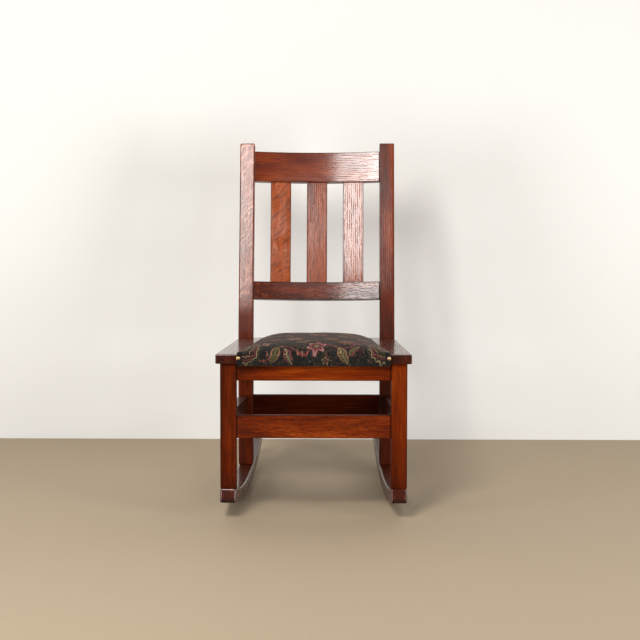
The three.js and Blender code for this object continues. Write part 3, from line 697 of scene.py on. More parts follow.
def legFoot(sign, x, y0, y1):
    # the foot's outline follows the runner's top
    steps = 4
    rows = [y0 + (y1 - y0) * i / steps for i in range(steps + 1)]
    return [(y, runnerTop(sign, x, y) - chair["footSunk"]) for y in rows]


def makeLeg(word, sign):
    x = sign * (chair["halfFront"] - legSize / 2)
    outline = legFoot(sign, x, 0, legSize) + [(legSize, -chair["board"]), (0, -chair["board"])]
    solid = (outline, (x - legSize / 2, x + legSize / 2), "x", chair["legEase"])
    oakPiece("leg_" + word, "front_leg_" + word, solid, leaning, "zxy", legLooks[word])


def bentStock(local):
    # straightens the post, so that its grain follows the bend
    radius, rake = chair["bendRadius"], chair["rake"]
    tangent = radius * math.tan(rake / 2)
    out = local.copy()
    ahead = chair["legToPost"] + radius - local[:, 1]
    above = local[:, 2] + tangent
    angle = np.clip(np.arctan2(above, ahead), 0, rake)
    cos, sin = np.cos(angle), np.sin(angle)
    out[:, 1] = radius - (ahead * cos + above * sin)
    out[:, 2] = radius * angle + (above * cos - ahead * sin)
    return out


def makePost(word, sign):
    radius, rake = chair["bendRadius"], chair["rake"]
    y0, tangent = chair["legToPost"], radius * math.tan(rake / 2)
    x = sign * (chair["halfRear"] - legSize / 2)
    front, rear = [], []
    steps = 12
    for i in range(steps + 1):
        angle = rake * i / steps
        for line, r in ((front, radius), (rear, radius - legSize)):
            line.append((y0 + radius - r * math.cos(angle), r * math.sin(angle) - tangent))
    top = (y0 + chair["postRise"] * math.sin(rake), chair["postRise"] * math.cos(rake))
    topRear = (top[0] + legSize * math.cos(rake), top[1] - legSize * math.sin(rake))
    foot = legFoot(sign, x, y0, y0 + legSize)
    outline = foot + rear + [topRear, top] + front[::-1]
    solid = (outline, (x - legSize / 2, x + legSize / 2), "x", chair["postEase"][word])
    oakPiece(
        "post_" + word, "rear_post_" + word, solid, leaning, "zxy", postLooks[word], bentStock)


for word, sign in sides.items():
    makeLeg(word, sign)
    makePost(word, sign)
print("legs and posts made")

# Rails and stretchers of the base
rails = {"thickness": 0.019, "setback": 0.003, "ease": 0.0013}
levels = {
    "seat_rail": {"top": -0.0223, "height": 0.039},
    "stretcher": {"top": -0.140, "height": 0.0525},
}
railLooks = {
    # Painted light and shade: the apron is darker along its top, under the seat's edge, and
    # towards its ends by the legs; the front stretcher is darker at its ends and along its top,
    # lighter towards the right
    "front_seat_rail": {**bareLook, "seed": 2, "tone": 0.55, "flake": 0.10, "ringWidth": 4.2,
                        "streak": 0.20, "dash": 0.25, "fade": 0.16, "shadeDrift": (0.0, -0.05)},
    "front_stretcher": {"seed": 7, "tone": 0.62, "flake": 0.10, "ringWidth": 4.4, "pith": (42, 24),
                        "slope": 0.16, "wander": 16, "coat": 0.1, "shine": 0.1, "dash": 0.8,
                        "streak": 0.6, "shadeDrift": (0.05, -0.04), "fade": 0.16},
    "rear_seat_rail": {"seed": 12, "tone": 0.40},
    # The rear stretcher's very low tone is painted shade, for its place in the shade under the
    # seat
    "rear_stretcher": {"seed": 14, "tone": 0.17, "flake": 0.03, "coat": 0.0, "shine": 0.04},
    "side_seat_rail_left": {"seed": 15, "tone": 0.42},
    "side_seat_rail_right": {"seed": 16, "tone": 0.42},
    "side_stretcher_left": {"seed": 17, "tone": 0.26, "flake": 0.1, "coat": 0.5},
    "side_stretcher_right": {"seed": 18, "tone": 0.26, "coat": 0.5},
}
legInner = chair["halfFront"] - legSize
postInner = chair["halfRear"] - legSize


def sideX(y, inset):
    return chair["halfFront"] - y * math.tan(taper) - inset / math.cos(taper)


def makeRail(name, outline, span, along, order):
    solid = (outline, span, along, rails["ease"])
    oakPiece(name, name, solid, leaning, order, railLooks[name])


for level, size in levels.items():
    low, high = size["top"] - size["height"], size["top"]
    for end, half, y0 in (("front", legInner, 0.0), ("rear", postInner, chair["legToPost"])):
        near = y0 + rails["setback"]
        reach = half - chair["joint"]
        outline = box(near, near + rails["thickness"], low, high)
        makeRail(f"{end}_{level}", outline, (-reach, reach), "x", "xzy")
    for word, sign in sides.items():
        y0, y1 = legSize + chair["joint"], chair["legToPost"] - chair["joint"]
        inner = rails["setback"] + rails["thickness"]
        corners = [
            (sign * sideX(y0, rails["setback"]), y0),
            (sign * sideX(y1, rails["setback"]), y1),
            (sign * sideX(y1, inner), y1),
            (sign * sideX(y0, inner), y0),
        ]
        makeRail(f"side_{level}_{word}", corners, (low, high), "z", "yzx")
print("rails made")

# Back rails, hollow to the front
back = {
    "railThickness": 0.020,
    "setback": 0.006,
    "bow": 0.013,
    "topBelow": 0.0195,
    "topHeight": 0.076,
    "lowRise": 0.1005,
    "lowHeight": 0.0445,
    "slatWidth": 0.0505,
    "slatThickness": 0.0095,
    "slatEase": 0.0011,
    "slatSink": 0.004,
    "slats": 3,
    "ease": 0.0014,
}
backHalf = postInner - chair["joint"]
bowRadius = (backHalf * backHalf + back["bow"] ** 2) / (2 * back["bow"])
topTop = chair["postRise"] - back["topBelow"]
topBottom = topTop - back["topHeight"]
lowTop = back["lowRise"] + back["lowHeight"]


def bowY(x, depth):
    # how far back the bowed rail's face lies, at a depth behind its front
    radius = bowRadius + depth
    return back["setback"] + back["bow"] - bowRadius + math.sqrt(radius * radius - x * x)


def bowedStock(local):
    # flattens the bowed rail, so that its grain follows the bow
    out = local.copy()
    centre = back["setback"] + back["bow"] - bowRadius
    angle = np.arctan2(local[:, 0], local[:, 1] - centre)
    out[:, 1] = np.hypot(local[:, 0], local[:, 1] - centre) - bowRadius
    out[:, 0] = angle * bowRadius
    return out


backLooks = {
    # The top rail is painted lighter towards its right end and darker to its left, a painted light
    # where the lamp's glare falls
    "top_rail": {"seed": 21, "tone": 0.56, "flake": 0.20, "flakeTilt": 4, "flakeSize": (24, 1.2),
                 "ringWidth": 4.0, "coat": 1.0, "streak": 0.22, "dash": 0.3, "line": 0.95,
                 "ripple": 0.6, "wander": 4, "haze": 0.12, "shadeDrift": (0.06, 0.0)},
    "lower_back_rail": {"seed": 24, "tone": 0.46, "flake": 0.45, "flakeTilt": 24,
                        "flakeSize": (14, 1.8), "ringWidth": 3.6, "slope": 0.12, "coat": 1.0,
                        "dash": 0.9, "line": 0.9},
}


def makeBackRail(name, low, high):
    steps = 40
    xs = [backHalf * (2 * i / steps - 1) for i in range(steps + 1)]
    outline = [(x, bowY(x, 0)) for x in xs]
    outline += [(x, bowY(x, back["railThickness"])) for x in reversed(xs)]
    solid = (outline, (low, high), "z", back["ease"])
    oakPiece(name, name, solid, raking, "xzy", backLooks[name], bowedStock)


makeBackRail("top_rail", topBottom, topTop)
makeBackRail("lower_back_rail", back["lowRise"], lowTop)
print("back rails made")


# Geometry nodes: trees with named inputs, turned into plain meshes
def newTree(name, sizes, shape):
    # shape is a function of a wire to start from and of one wire for each size
    tree = bpy.data.node_groups.new(name, "GeometryNodeTree")
    for label, value in sizes.items():
        kind = "NodeSocketInt" if isinstance(value, int) else "NodeSocketFloat"
        socket = tree.interface.new_socket(label, in_out="INPUT", socket_type=kind)
        socket.default_value = value
    tree.interface.new_socket("Material", in_out="INPUT", socket_type="NodeSocketMaterial")
    tree.interface.new_socket("Geometry", in_out="OUTPUT", socket_type="NodeSocketGeometry")
    start = Wire(tree)
    given = start.make("NodeGroupInput")
    solid = shape(start, {label: given.other(label) for label in sizes})
    whole = start.make("GeometryNodeRealizeInstances", {0: solid})
    smooth = start.make("GeometryNodeSetShadeSmooth", {0: whole})
    dressed = start.make(
        "GeometryNodeSetMaterial", {0: smooth, "Material": given.other("Material")})
    finish = tree.nodes.new("NodeGroupOutput")
    tree.links.new(dressed.socket, finish.inputs[0])
    return tree


def grow(name, tree, sizes, material=None):
    piece = newPiece(name, bpy.data.meshes.new(name))
    modifier = piece.modifiers.new("grow", "NODES")
    modifier.node_group = tree
    values = {**sizes, "Material": material}
    for item in tree.interface.items_tree:
        if item.item_type == "SOCKET" and item.in_out == "INPUT":
            modifier[item.identifier] = values[item.name]
    return piece


def straight(begin, end):
    return end.make("GeometryNodeCurvePrimitiveLine", {"Start": begin, "End": end})


def fine(curve, count):
    return curve.make("GeometryNodeResampleCurve", {"Curve": curve, "Count": count})


def placed(geometry, position):
    return geometry.make("GeometryNodeSetPosition", {"Geometry": geometry, "Position": position})


def row(start, count):
    # points that a position field spreads
    return start.make("GeometryNodeMeshLine", {"Count": count, "Offset": (0, 0, 0)})


def copied(points, instance, **more):
    return points.make(
        "GeometryNodeInstanceOnPoints", {"Points": points, "Instance": instance, **more})


def bar(curve, width, height, ease):
    # the curve drawn out with an eased rectangular section
    rectangle = curve.make(
        "GeometryNodeCurvePrimitiveQuadrilateral", {"Width": width, "Height": height},
        mode="RECTANGLE")
    profile = curve.make(
        "GeometryNodeFilletCurve",
        {"Curve": rectangle, "Count": 4, "Radius": ease, "Limit Radius": True}, mode="POLY")
    return curve.make(
        "GeometryNodeCurveToMesh", {"Curve": curve, "Profile Curve": profile, "Fill Caps": True})


def levelled(curve):
    # keeps the section upright along the curve
    return curve.make("GeometryNodeSetCurveNormal", {"Curve": curve}, mode="Z_UP")


def runnerShape(start, given):
    length, roll, radius = given["Length"], given["Roll Point"], given["Radius"]
    line = straight((0, 0, 0), together(length * 0.0, length))
    x, y = start.make("GeometryNodeInputPosition").split()[:2]
    share = (y - roll) / radius
    middle = radius - given["Depth"] / 2
    bent = together(x, roll + middle * share, radius - middle * (1 - share * share).root())
    arc = placed(fine(line, 110), bent)
    return bar(levelled(arc), given["Width"], given["Depth"], given["Ease"])


runnerLooks = {
    "left": {"seed": 27, "tone": 0.27, "flake": 0.2, "coat": 1.0, "ends": 0.9, "index": 1.75},
    "right": {"seed": 29, "tone": 0.31, "flake": 0.2, "coat": 0.9, "ends": 0.9, "index": 1.65},
}
runnerSizes = {
    "Length": runnerRun, "Roll Point": runner["rollPoint"], "Radius": runner["radius"],
    "Width": runner["width"], "Depth": runner["depth"], "Ease": runner["ease"]}
runnerTree = newTree("runner", runnerSizes, runnerShape)
for word, sign in sides.items():
    piece = grow("runner_arc_" + word, runnerTree, runnerSizes)
    tips = piece.modifiers.new("tips", "BEVEL")
    tips.width = runner["tipEase"]
    tips.segments = 5
    tips.limit_method = "ANGLE"
    tips.angle_limit = math.radians(60)
    piece.modifiers.new("weights", "WEIGHTED_NORMAL")
    settle(piece, runnerPlace(sign))
    cutFrom(piece, runnerPlace(sign), "yxz", runnerLooks[word])
    hand(piece, "stained_oak", "runner_" + word)
print("runners grown")


def slatShape(start, given):
    low, high, bow = given["Low"], given["High"], given["Bow Radius"]
    nothing = low * 0.0
    line = straight(together(nothing, nothing, low), together(nothing, nothing, high))
    slat = bar(line, given["Width"], given["Thickness"], given["Ease"])
    step = start.make("GeometryNodeInputIndex") - (given["Count"] - 1) / 2
    angle = step * given["Pitch"] / bow
    across, inward = bow * angle.sine(), bow * (angle.cosine() - 1)
    spread = placed(row(start, given["Count"]), together(across, inward))
    return copied(spread, slat, Rotation=together(nothing, nothing, angle * -1))


slatGap = (2 * postInner - back["slats"] * back["slatWidth"]) / (back["slats"] + 1)
slatPitch = back["slatWidth"] + slatGap
slatPlace = raking @ Matrix.Translation((0, bowY(0, back["railThickness"] / 2), 0))
slatSizes = {
    "Count": back["slats"], "Pitch": slatPitch, "Width": back["slatWidth"],
    "Thickness": back["slatThickness"], "Low": lowTop - back["slatSink"],
    "High": topBottom + back["slatSink"], "Bow Radius": bowRadius + back["railThickness"] / 2,
    "Ease": back["slatEase"]}
slats = grow("back_slats", newTree("slats", slatSizes, slatShape), slatSizes)
slats.modifiers.new("weights", "WEIGHTED_NORMAL")
settle(slats, slatPlace)
slatLooks = [
    {"seed": 31, "tone": 0.84, "flake": 0.9, "flakeTilt": -50, "flakeSize": (24, 5.5), "coat": 1.0,
     "shade": 0.5, "dash": 0.5, "pale": 0.22, "patchy": 0.85, "haze": 0.22},
    {**combedLook, "seed": 34, "tone": 0.67, "flake": 0.10, "ringWidth": 4.0, "dash": 0.6,
     "streak": 0.5, "haze": 0.24},
    {**combedLook, "seed": 38, "tone": 0.60, "flake": 0.12, "ringWidth": 4.4, "dash": 0.35,
     "streak": 0.3, "ripple": 0.5},
]


def slatStock(piece):
    # each slat from its own board, with its own finish
    local = unplaced(piece, slatPlace)
    index = np.clip(np.round(local[:, 0] / slatPitch + 1), 0, 2).astype(int)
    offsetX = local[:, 0] - (index - 1) * slatPitch
    middle = (lowTop + topBottom) / 2
    keep(piece.data, "stock", np.stack([local[:, 2] - middle, offsetX, local[:, 1] * 0], 1))
    half = [(topBottom - lowTop) / 2 + back["slatSink"], back["slatWidth"] / 2, 0.0]
    dress(piece, *[
        oak(f"back_slat_{place}_oak", half, **look) for place, look in enumerate(slatLooks)])
    for face in piece.data.polygons:
        face.material_index = int(index[face.vertices[0]])


slatStock(slats)
hand(slats, "stained_oak", "back_slat_left", "back_slat_centre", "back_slat_right")
print("slats grown")

# Seat boards
boards = {
    "thickness": chair["board"],
    "overhang": 0.010,
    "halfFront": 0.22225,
    "halfRear": 0.1940,
    "sideWidth": 0.076,
    "frontDepth": 0.058,
    "rearDepth": 0.078,
    "ease": 0.0030,
    "rearEase": 0.0014,
}
boardFront = -boards["overhang"]
boardRear = chair["legToPost"] + legSize


def boardInner(y):
    return boards["halfFront"] - boards["sideWidth"] - (y - boardFront) * math.tan(taper)


def boardStock(local):
    # turns the board, so that its grain follows its outer edge
    out = local.copy()
    out[:, 0] = np.abs(local[:, 0]) + local[:, 1] * math.tan(taper)
    return out


topLook = {"flake": 0.3, "coat": 1.3, "topOnly": 0.85}
boardLooks = {
    "left": {**topLook, "seed": 41, "tone": 0.42, "rough": 0.30, "index": 3.6},
    "right": {**topLook, "seed": 43, "tone": 0.44, "rough": 0.32, "index": 3.9},
    "rear": {"seed": 45, "tone": 0.42, "flake": 0.35, "rough": 0.34},
}
for word, sign in sides.items():
    gap = chair["joint"]
    corners = [
        (boardInner(boardFront), boardFront),
        (boards["halfFront"], boardFront),
        (boards["halfRear"], chair["legToPost"] - gap),
        (postInner - gap, chair["legToPost"] - gap),
        (postInner - gap, boardRear),
        (boardInner(boardRear), boardRear),
    ]
    outline = [(sign * x, y) for x, y in corners]
    solid = (outline, (-boards["thickness"], 0), "z", boards["ease"])
    oakPiece(
        "seat_side_" + word, "seat_side_board_" + word, solid, leaning, "yxz", boardLooks[word],
        boardStock)
y0, y1 = boardRear - boards["rearDepth"], boardRear
near, far = boardInner(y0) - chair["joint"], boardInner(y1) - chair["joint"]
outline = [(-near, y0), (near, y0), (far, y1), (-far, y1)]
solid = (outline, (-boards["thickness"], 0), "z", boards["rearEase"])
oakPiece("seat_rear", "seat_rear_board", solid, leaning, "xyz", boardLooks["rear"])
print("seat boards made")

# Under the seat: woven straps, then hessian
weave = {
    "width": 0.050, "thickness": 0.0015, "ease": 0.0005, "level": 0.00105, "rise": 0.0009,
    "hold": 0.011, "deep": 0.084, "clear": 0.008, "shift": 0.31}
openingFront = boardFront + boards["frontDepth"]
openingRear = boardRear - boards["rearDepth"]
openingMiddle = (openingFront + openingRear) / 2
narrowest = boardInner(openingMiddle + weave["deep"] + weave["width"] / 2)
weave["wide"] = narrowest - weave["clear"] - weave["width"] / 2 - weave["thickness"]


def strapShape(start, given):
    spacing, count = given["Spacing"], given["Count"]
    nothing = spacing * 0.0
    line = fine(straight(together(nothing, given["Near"]), together(nothing, given["Far"])), 96)
    step = start.make("GeometryNodeInputIndex") - (count - 1) / 2
    spread = placed(row(start, count), together(step * spacing, nothing))
    loose = start.make("GeometryNodeRealizeInstances", {0: copied(spread, line)})
    x, y = start.make("GeometryNodeInputPosition").split()[:2]
    order, phase = x / spacing, y / given["Crossings"]
    turn = (order * math.pi).cosine() * given["Sign"]
    swing = ((phase * math.pi).cosine() * 1.7).least(1.0).most(-1.0)
    within = abs(phase).smooth(1.62, 1.36)
    lift = turn * swing * within * given["Rise"]
    reach = y * (1 + order * given["Spread"])
    woven = placed(loose, together(x, reach, lift))
    return bar(levelled(woven), given["Width"], given["Thickness"], given["Ease"])


def strapSizes(across, crossings, reach, spread, sign):
    return {
        "Count": 3, "Spacing": across, "Crossings": crossings, "Near": -reach, "Far": reach,
        "Spread": spread, "Width": weave["width"], "Thickness": weave["thickness"],
        "Ease": weave["ease"], "Rise": weave["rise"], "Sign": sign}


def straps(name, place, sizes, nodes):
    piece = grow(name, strapTree, sizes, jute)
    settle(piece)
    local = positions(piece.data)
    order = np.round(local[:, 0] / sizes["Spacing"])
    x, y = local[:, 0] - order * sizes["Spacing"], local[:, 1] + order * weave["shift"]
    keep(piece.data, "cloth", np.stack([x, y, x * 0], 1))
    piece.data.transform(place)
    return hand(piece, "jute_webbing", *nodes)


jute = juteMaterial()
longReach = (openingRear - openingFront) / 2 + weave["hold"]
crossNear = boardInner(openingMiddle - weave["deep"] + weave["width"] / 2) + weave["hold"]
crossFar = narrowest + weave["hold"]
crossReach = (crossNear + crossFar) / 2
crossSpread = (crossFar - crossReach) / crossReach
longSizes = strapSizes(weave["wide"], weave["deep"], longReach, 0.0, -1.0)
crossSizes = strapSizes(weave["deep"], weave["wide"], crossReach, crossSpread, 1.0)
strapTree = newTree("straps", longSizes, strapShape)
longPlace = leaning @ Matrix.Translation((0, openingMiddle, weave["level"]))
crossPlace = longPlace @ Matrix.Rotation(-math.pi / 2, 4, "Z") @ Matrix.Scale(-1, 4, (1, 0, 0))
straps("straps_long", longPlace, longSizes,
       ["webbing_long_" + word for word in ("left", "centre", "right")])
cross = straps("straps_cross", crossPlace, crossSizes,
               ["webbing_cross_" + word for word in ("front", "middle", "rear")])
cross.data.flip_normals()
print("straps grown")

# Cushion: a woven cover over stuffing, wrapped round the front board and blown up as cloth
cover = {
    "halfFront": 0.1740,
    "halfRear": 0.1350,
    "front": -0.0123,
    "rear": 0.366,
    "height": 0.0286,
    "swell": 0.0030,
    "drawIn": 0.003,
    "step": 0.0044,
    "across": 78,
    "hem": 0.0122,
    "fillet": 0.002,
    "clear": 0.0003,
    "underClear": 0.0004,
    "underEnd": -0.0008,
    "topStation": 18,
    "looseAfter": 13,
    "sidePower": 4.8,
    "frontPower": 7,
    "rearPower": 4,
}
# How thick the cover's edge is in mm, by the way along it from the start of its top
edgeAlong = [-0.032, -0.022, -0.014, -0.007, 0, 0.02, 0.366]
edgeThick = [4.2, 5.8, 4.0, 3.2, 4.6, 5.2, 2.4]
# How high the cover's inside lies in mm, by the way in from its hem in mm
innerIn = [0, 2, 9, 14]
innerHigh = [0, 2.0, 2.1, 3.9]


def coverShare(y):
    # from -1 at the cover's front to 1 at its rear
    return 2 * (y - cover["front"]) / (cover["rear"] - cover["front"]) - 1


def coverHalf(y):
    share = np.clip((y - cover["front"]) / (cover["rear"] - cover["front"]), 0, 1)
    return cover["halfFront"] + (cover["halfRear"] - cover["halfFront"]) * share


def coverPath():
    # stations from under the board, up its front edge and back over its top
    front, fillet = boardFront - cover["clear"], cover["fillet"]
    under, top = -boards["thickness"] - cover["underClear"], cover["clear"]

    def rounded(z, begin):
        turns = [begin - 18 * turn for turn in range(1, 6)]
        return [
            (front + fillet + fillet * math.cos(math.radians(degrees)),
             z + fillet * math.sin(math.radians(degrees)), degrees) for degrees in turns]

    stations = [(y, under, -90) for y in np.linspace(cover["underEnd"], front + fillet, 4)]
    stations += rounded(under + fillet, -90)
    stations += [(front, z, -180) for z in np.linspace(under + fillet, top - fillet, 5)[1:]]
    stations += rounded(top - fillet, -180)
    count = int((cover["rear"] - front) / cover["step"])
    stations += [(y, top, -270) for y in np.linspace(front + fillet, cover["rear"], count)[1:]]
    return np.array(stations)


def crownShare(u, y):
    v = coverShare(y)
    power = np.where(v < 0, cover["frontPower"], cover["rearPower"])
    inside = 1 - np.abs(np.clip(v, -1, 1)) ** power
    return (1 - np.abs(u) ** cover["sidePower"]) * inside ** 1.05


def coverShell(height):
    # each ring runs over the top, round one hem, back along the inside and round the other hem
    stations = coverPath()
    count = cover["across"]
    us = np.linspace(-1, 1, count + 1)
    reach = np.concatenate([[0], np.cumsum(np.hypot(*np.diff(stations[:, :2], axis=0).T))])
    along = reach - reach[cover["topStation"]]
    rings, cloth, free = [], [], []
    for j, (y, z, degrees) in enumerate(stations):
        normal = (math.cos(math.radians(degrees)), math.sin(math.radians(degrees)))
        edge = 0.001 * np.interp(along[j], edgeAlong, edgeThick)
        flat = degrees == -270
        drawn = cover["drawIn"] * (1 - coverShare(y) ** 2) if flat else 0
        half = coverHalf(y) - drawn
        curl = edge / 2
        xs = us * (half - curl)
        crown = (height - edge) * crownShare(us, y) * (1.0 if degrees <= -250 else 0.0)
        inner = np.zeros(count + 1)
        if flat:
            depth = np.minimum(half - np.abs(xs), min(y - cover["front"], cover["rear"] - y))
            inner = 0.001 * np.interp(depth * 1000, innerIn, innerHigh)
        hems = [(half - curl + curl * math.sin(a), curl + curl * math.cos(a))
                for a in (math.pi / 4, math.pi / 2, 3 * math.pi / 4)]
        points = list(zip(xs, edge + crown)) + hems
        points += list(zip(xs[::-1], inner[::-1])) + [(-x, lift) for x, lift in hems[::-1]]
        rings.append([(x, y + normal[0] * lift, z + normal[1] * lift) for x, lift in points])
        cloth += [(x, along[j], 0) for x, lift in points]
        loose = cover["looseAfter"] < j < len(stations) - 1
        free += [loose and 0 < i < count for i in range(len(points))]
    return rings, cloth, free


def coverMesh(height):
    rings, cloth, free = coverShell(height)
    count, size = cover["across"], len(rings[0])
    faces = []
    for j in range(len(rings) - 1):
        here, ahead = j * size, (j + 1) * size
        for k in range(size):
            after = (k + 1) % size
            faces.append((here + k, here + after, ahead + after, ahead + k))
    for j in (0, len(rings) - 1):
        first = j * size
        for i in range(count):
            low = first + 2 * count + 4 - i
            faces.append((first + i, first + i + 1, low - 1, low))
        faces.append(tuple(first + i for i in range(count, count + 5)))
        faces.append(tuple(first + i % size for i in range(2 * count + 4, size + 1)))
    mesh = bpy.data.meshes.new("cushion")
    mesh.from_pydata([point for ring in rings for point in ring], [], faces)
    builder = bmesh.new()
    builder.from_mesh(mesh)
    bmesh.ops.recalc_face_normals(builder, faces=builder.faces)
    builder.to_mesh(mesh)
    builder.free()
    keep(mesh, "cloth", cloth)
    return mesh, free


clothSettings = {
    "quality": 6,
    "mass": 0.3,
    "tension_stiffness": 5,
    "compression_stiffness": 5,
    "bending_stiffness": 0.4,
    "use_pressure": True,
    "uniform_pressure_force": 4,
    "vertex_group_mass": "held",
}
clothFrames = 20


def blowUp(piece, free):
    # inflates the loose part of the cover, and keeps the shape of the swelling at its set height
    held = piece.vertex_groups.new(name="held")
    held.add([i for i, loose in enumerate(free) if not loose], 1.0, "REPLACE")
    cloth = piece.modifiers.new("cloth", "CLOTH")
    for label, value in clothSettings.items():
        setattr(cloth.settings, label, value)
    cloth.settings.effector_weights.gravity = 0
    cloth.point_cache.frame_start = 1
    cloth.point_cache.frame_end = clothFrames
    rest = positions(piece.data)
    for moment in range(1, clothFrames + 1):
        scene.frame_set(moment)
    graph = bpy.context.evaluated_depsgraph_get()
    moved = positions(piece.evaluated_get(graph).to_mesh()) - rest
    largest = np.linalg.norm(moved, axis=1).max()
    print("cloth moved up to", round(1000 * float(largest), 2), "mm")
    piece.modifiers.clear()
    piece.vertex_groups.clear()
    scene.frame_set(1)
    move(piece.data, rest + moved * (cover["swell"] / max(largest, 1e-6)))


seams = {
    "foldWide": 0.0012,
    "foldDeep": 0.0011,
    "pullIn": 0.016,
    "pullWide": 0.009,
    "pullSlant": 0.3,
    "pullPitch": 0.021,
    "pullHigh": 0.00045,
    "lumpHigh": 0.0005,
}


def coverSeams(mesh):
    # the tucked corner folds, small pulls where the hem is tacked, and uneven stuffing
    places = positions(mesh)
    flat = np.zeros(len(places) * 3)
    mesh.attributes["cloth"].data.foreach_get("vector", flat)
    across, along = flat.reshape(-1, 3)[:, :2].T
    x, y, z = places.T
    inward = coverHalf(y) - np.abs(x)
    outer = y < boardFront - 0.002
    fold = np.clip((cover["hem"] + seams["foldWide"] / 2 - inward) / seams["foldWide"], 0, 1)
    places[:, 1] -= np.where(outer & (z < 0.001), seams["foldDeep"] * fold, 0)
    top = (along > 0.006) & (z > 0.004)
    side = np.exp(-((inward - seams["pullIn"]) / seams["pullWide"]) ** 2)
    wave = (along + seams["pullSlant"] * inward) / seams["pullPitch"]
    pulls = np.cos(2 * math.pi * wave) * side * seams["pullHigh"]
    lumps = np.sin(along * 43 + 2.1 * np.sin(across * 31)) * np.sin(across * 37 + 1.3)
    lumps *= seams["lumpHigh"]
    fade = np.clip(inward / 0.02, 0, 1) * np.clip(along / 0.03, 0, 1)
    places[:, 2] += np.where(top, pulls + lumps * fade, 0)
    move(mesh, places)


def makeCushion():
    mesh, free = coverMesh(cover["height"] - cover["swell"])
    piece = newPiece("cushion", mesh)
    blowUp(piece, free)
    smooth = piece.modifiers.new("smooth", "SUBSURF")
    smooth.levels = smooth.render_levels = 1
    settle(piece)
    coverSeams(piece.data)
    for face in piece.data.polygons:
        face.use_smooth = True
    piece.data.transform(leaning)
    dress(piece, tapestryMaterial())
    hand(piece, "tapestry", "seat_cover", "seat_pad")


makeCushion()
print("cushion made")


# Hessian between the straps and the stuffing
sacking = {
    "inset": 0.015, "frontInset": 0.0125, "level": 0.0031, "thickness": 0.0005, "rows": 40,
    "columns": 36}


def makeHessian():
    inset, rows, columns = sacking["inset"], sacking["rows"], sacking["columns"]
    y0, y1 = cover["front"] + sacking["frontInset"], cover["rear"] - inset
    cloth, faces = [], []
    for j in range(rows + 1):
        y = y0 + (y1 - y0) * j / rows
        half = coverHalf(y) - inset
        cloth += [(half * (2 * i / columns - 1), y, 0) for i in range(columns + 1)]
    for j in range(rows):
        for i in range(columns):
            at = j * (columns + 1) + i
            faces.append((at, at + 1, at + columns + 2, at + columns + 1))
    mesh = bpy.data.meshes.new("hessian")
    mesh.from_pydata([(x, y, sacking["level"]) for x, y, z in cloth], [], faces)
    keep(mesh, "cloth", cloth)
    piece = newPiece("hessian", mesh)
    body = piece.modifiers.new("body", "SOLIDIFY")
    body.thickness = sacking["thickness"]
    body.offset = 1
    settle(piece, leaning)
    dress(piece, hessianMaterial())
    hand(piece, "hessian", "hessian_sheet")


makeHessian()
print("hessian made")

# Two domed nails hold the cover's front corners
nail = {
    "head": 0.00475, "rise": 0.0032, "shank": 0.0009, "length": 0.013, "x": 0.17025,
    "drop": 0.0085, "ahead": 0.0020}


def nailShape(start, given):
    head, rise, length = given["Head"], given["Rise"], given["Shank Length"]
    nothing = head * 0.0
    ball = start.make("GeometryNodeMeshUVSphere", {"Segments": 40, "Rings": 24, "Radius": head})
    x, y, z = start.make("GeometryNodeInputPosition").split()
    dome = placed(ball, together(x, y, (z * rise / head).most(rise * -0.12)))
    pin = start.make("GeometryNodeMeshCylinder", {
        "Vertices": 16, "Radius": given["Shank"], "Depth": length})
    sunk = start.make("GeometryNodeTransform", {
        "Geometry": pin, "Translation": together(nothing, nothing, length * -0.5)})
    whole = start.make("GeometryNodeJoinGeometry", {0: dome})
    start.tree.links.new(sunk.socket, whole.socket.node.inputs[0])
    step = start.make("GeometryNodeInputIndex") * 2 - 1
    spread = placed(row(start, 2), together(step * given["Spread"], nothing))
    return copied(spread, whole)


nailSizes = {
    "Spread": nail["x"], "Head": nail["head"], "Rise": nail["rise"], "Shank": nail["shank"],
    "Shank Length": nail["length"]}
brass = metalMaterial("nail_brass", 0.004, srgb(190, 158, 108), srgb(224, 198, 154), 0.2, 0.22)
nails = grow("nails", newTree("nails", nailSizes, nailShape), nailSizes, brass)
nailPlace = leaning @ Matrix.Translation((0, cover["front"] - nail["ahead"], -nail["drop"]))
settle(nails, nailPlace @ Matrix.Rotation(math.pi / 2, 4, "X"))
hand(nails, "brass", "brass_nail_left", "brass_nail_right")
print("nails made")

# Pieces kept as the frame has them
plainOak = plainOakMaterial()
steel = metalMaterial("screw_steel", 0.003, srgb(92, 86, 80), srgb(150, 147, 142), 0.4)
for name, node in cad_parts.items():
    if name.startswith("corner_block_screw") or "runner_screw" in name:
        node.material_slots[0].material = steel
    elif name.startswith("corner_block") or name == "seat_front_board":
        node.material_slots[0].material = plainOak

# Stage: a plain pale floor and wall
stage = {"wall": 0.539, "width": 9.0, "front": -9.0, "height": 5.0}


def stagePaint(name, colour, rough):
    # clear from behind, so that the chair shows from the back and from below
    material, shader, start = newMaterial(name, Roughness=rough, Base_Color=colour)
    behind = start.make("ShaderNodeNewGeometry", out="Backfacing")
    paint = Wire(start.tree, shader.outputs[0])
    clear = start.make("ShaderNodeBsdfTransparent")
    shown = start.make("ShaderNodeMixShader", {0: behind, 1: paint, 2: clear})
    start.tree.links.new(shown.socket, start.tree.nodes["Material Output"].inputs[0])
    return material


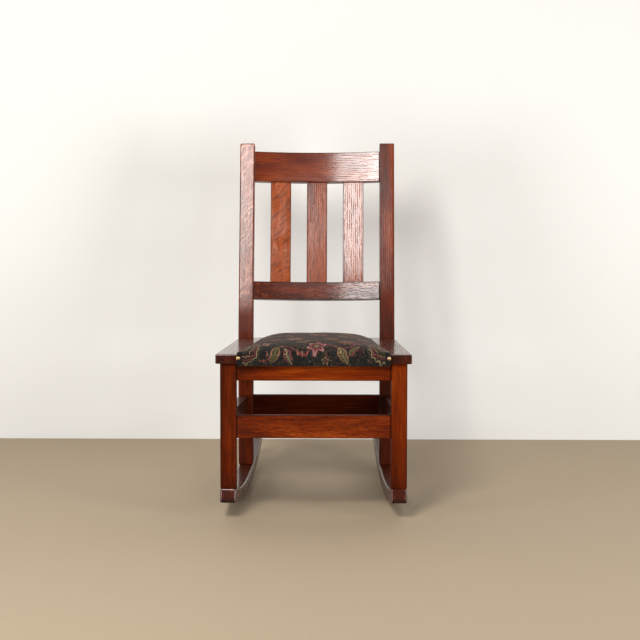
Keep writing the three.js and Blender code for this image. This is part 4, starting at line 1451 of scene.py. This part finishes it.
def plainStage():
    half = stage["width"] / 2
    mesh = bpy.data.meshes.new("stage")
    corners = [
        (-half, stage["front"], 0), (half, stage["front"], 0),
        (half, stage["wall"], 0), (-half, stage["wall"], 0),
        (half, stage["wall"], stage["height"]), (-half, stage["wall"], stage["height"]),
    ]
    mesh.from_pydata(corners, [], [(0, 1, 2, 3), (3, 2, 4, 5)])
    piece = newPiece("stage", mesh)
    mesh.materials.append(stagePaint("floor_paint", srgb(175, 156, 130), 0.7))
    mesh.materials.append(stagePaint("wall_paint", srgb(232, 231, 227), 0.9))
    mesh.polygons[1].material_index = 1
    piece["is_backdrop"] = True


plainStage()
chairLight = {"aim": (0, -0.05, 0.60), "colour": (0.985, 0.97, 0.94)}
wallLight = {"aim": (0, 0.54, 0.4), "size": (1.0, 1.3), "colour": (0.97, 0.98, 1.0)}
lamps = {
    "key": {**chairLight, "place": (-0.62, -1.97, 1.955), "size": (0.77, 0.88), "power": 36.5},
    "fill": {**chairLight, "place": (0.10, -1.97, 1.79), "size": (0.50, 0.28), "power": 1.8},
    "heart": {**chairLight, "place": (-0.77, -1.93, 2.06), "size": (0.45, 0.72), "power": 8},
    "left": {**wallLight, "place": (-2.3, -1.7, 0.7), "power": 38},
    "right": {**wallLight, "place": (2.3, -1.7, 0.7), "power": 53},
}
for name, lamp in lamps.items():
    light = bpy.data.lights.new(name, "AREA")
    light.shape = "RECTANGLE"
    light.size, light.size_y = lamp["size"]
    light.energy = lamp["power"]
    light.color = lamp["colour"]
    holder = bpy.data.objects.new(name, light)
    holder.location = lamp["place"]
    aim = Vector(lamp["aim"]) - Vector(lamp["place"])
    holder.rotation_euler = aim.to_track_quat("-Z", "Y").to_euler()
    scene.collection.objects.link(holder)
world = bpy.data.worlds.new("room")
world.use_nodes = True
background = world.node_tree.nodes["Background"]
background.inputs["Color"].default_value = (0.97, 0.98, 1.0, 1.0)
background.inputs["Strength"].default_value = 0.06
scene.world = world
scene.view_settings.view_transform = "Standard"

low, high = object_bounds()
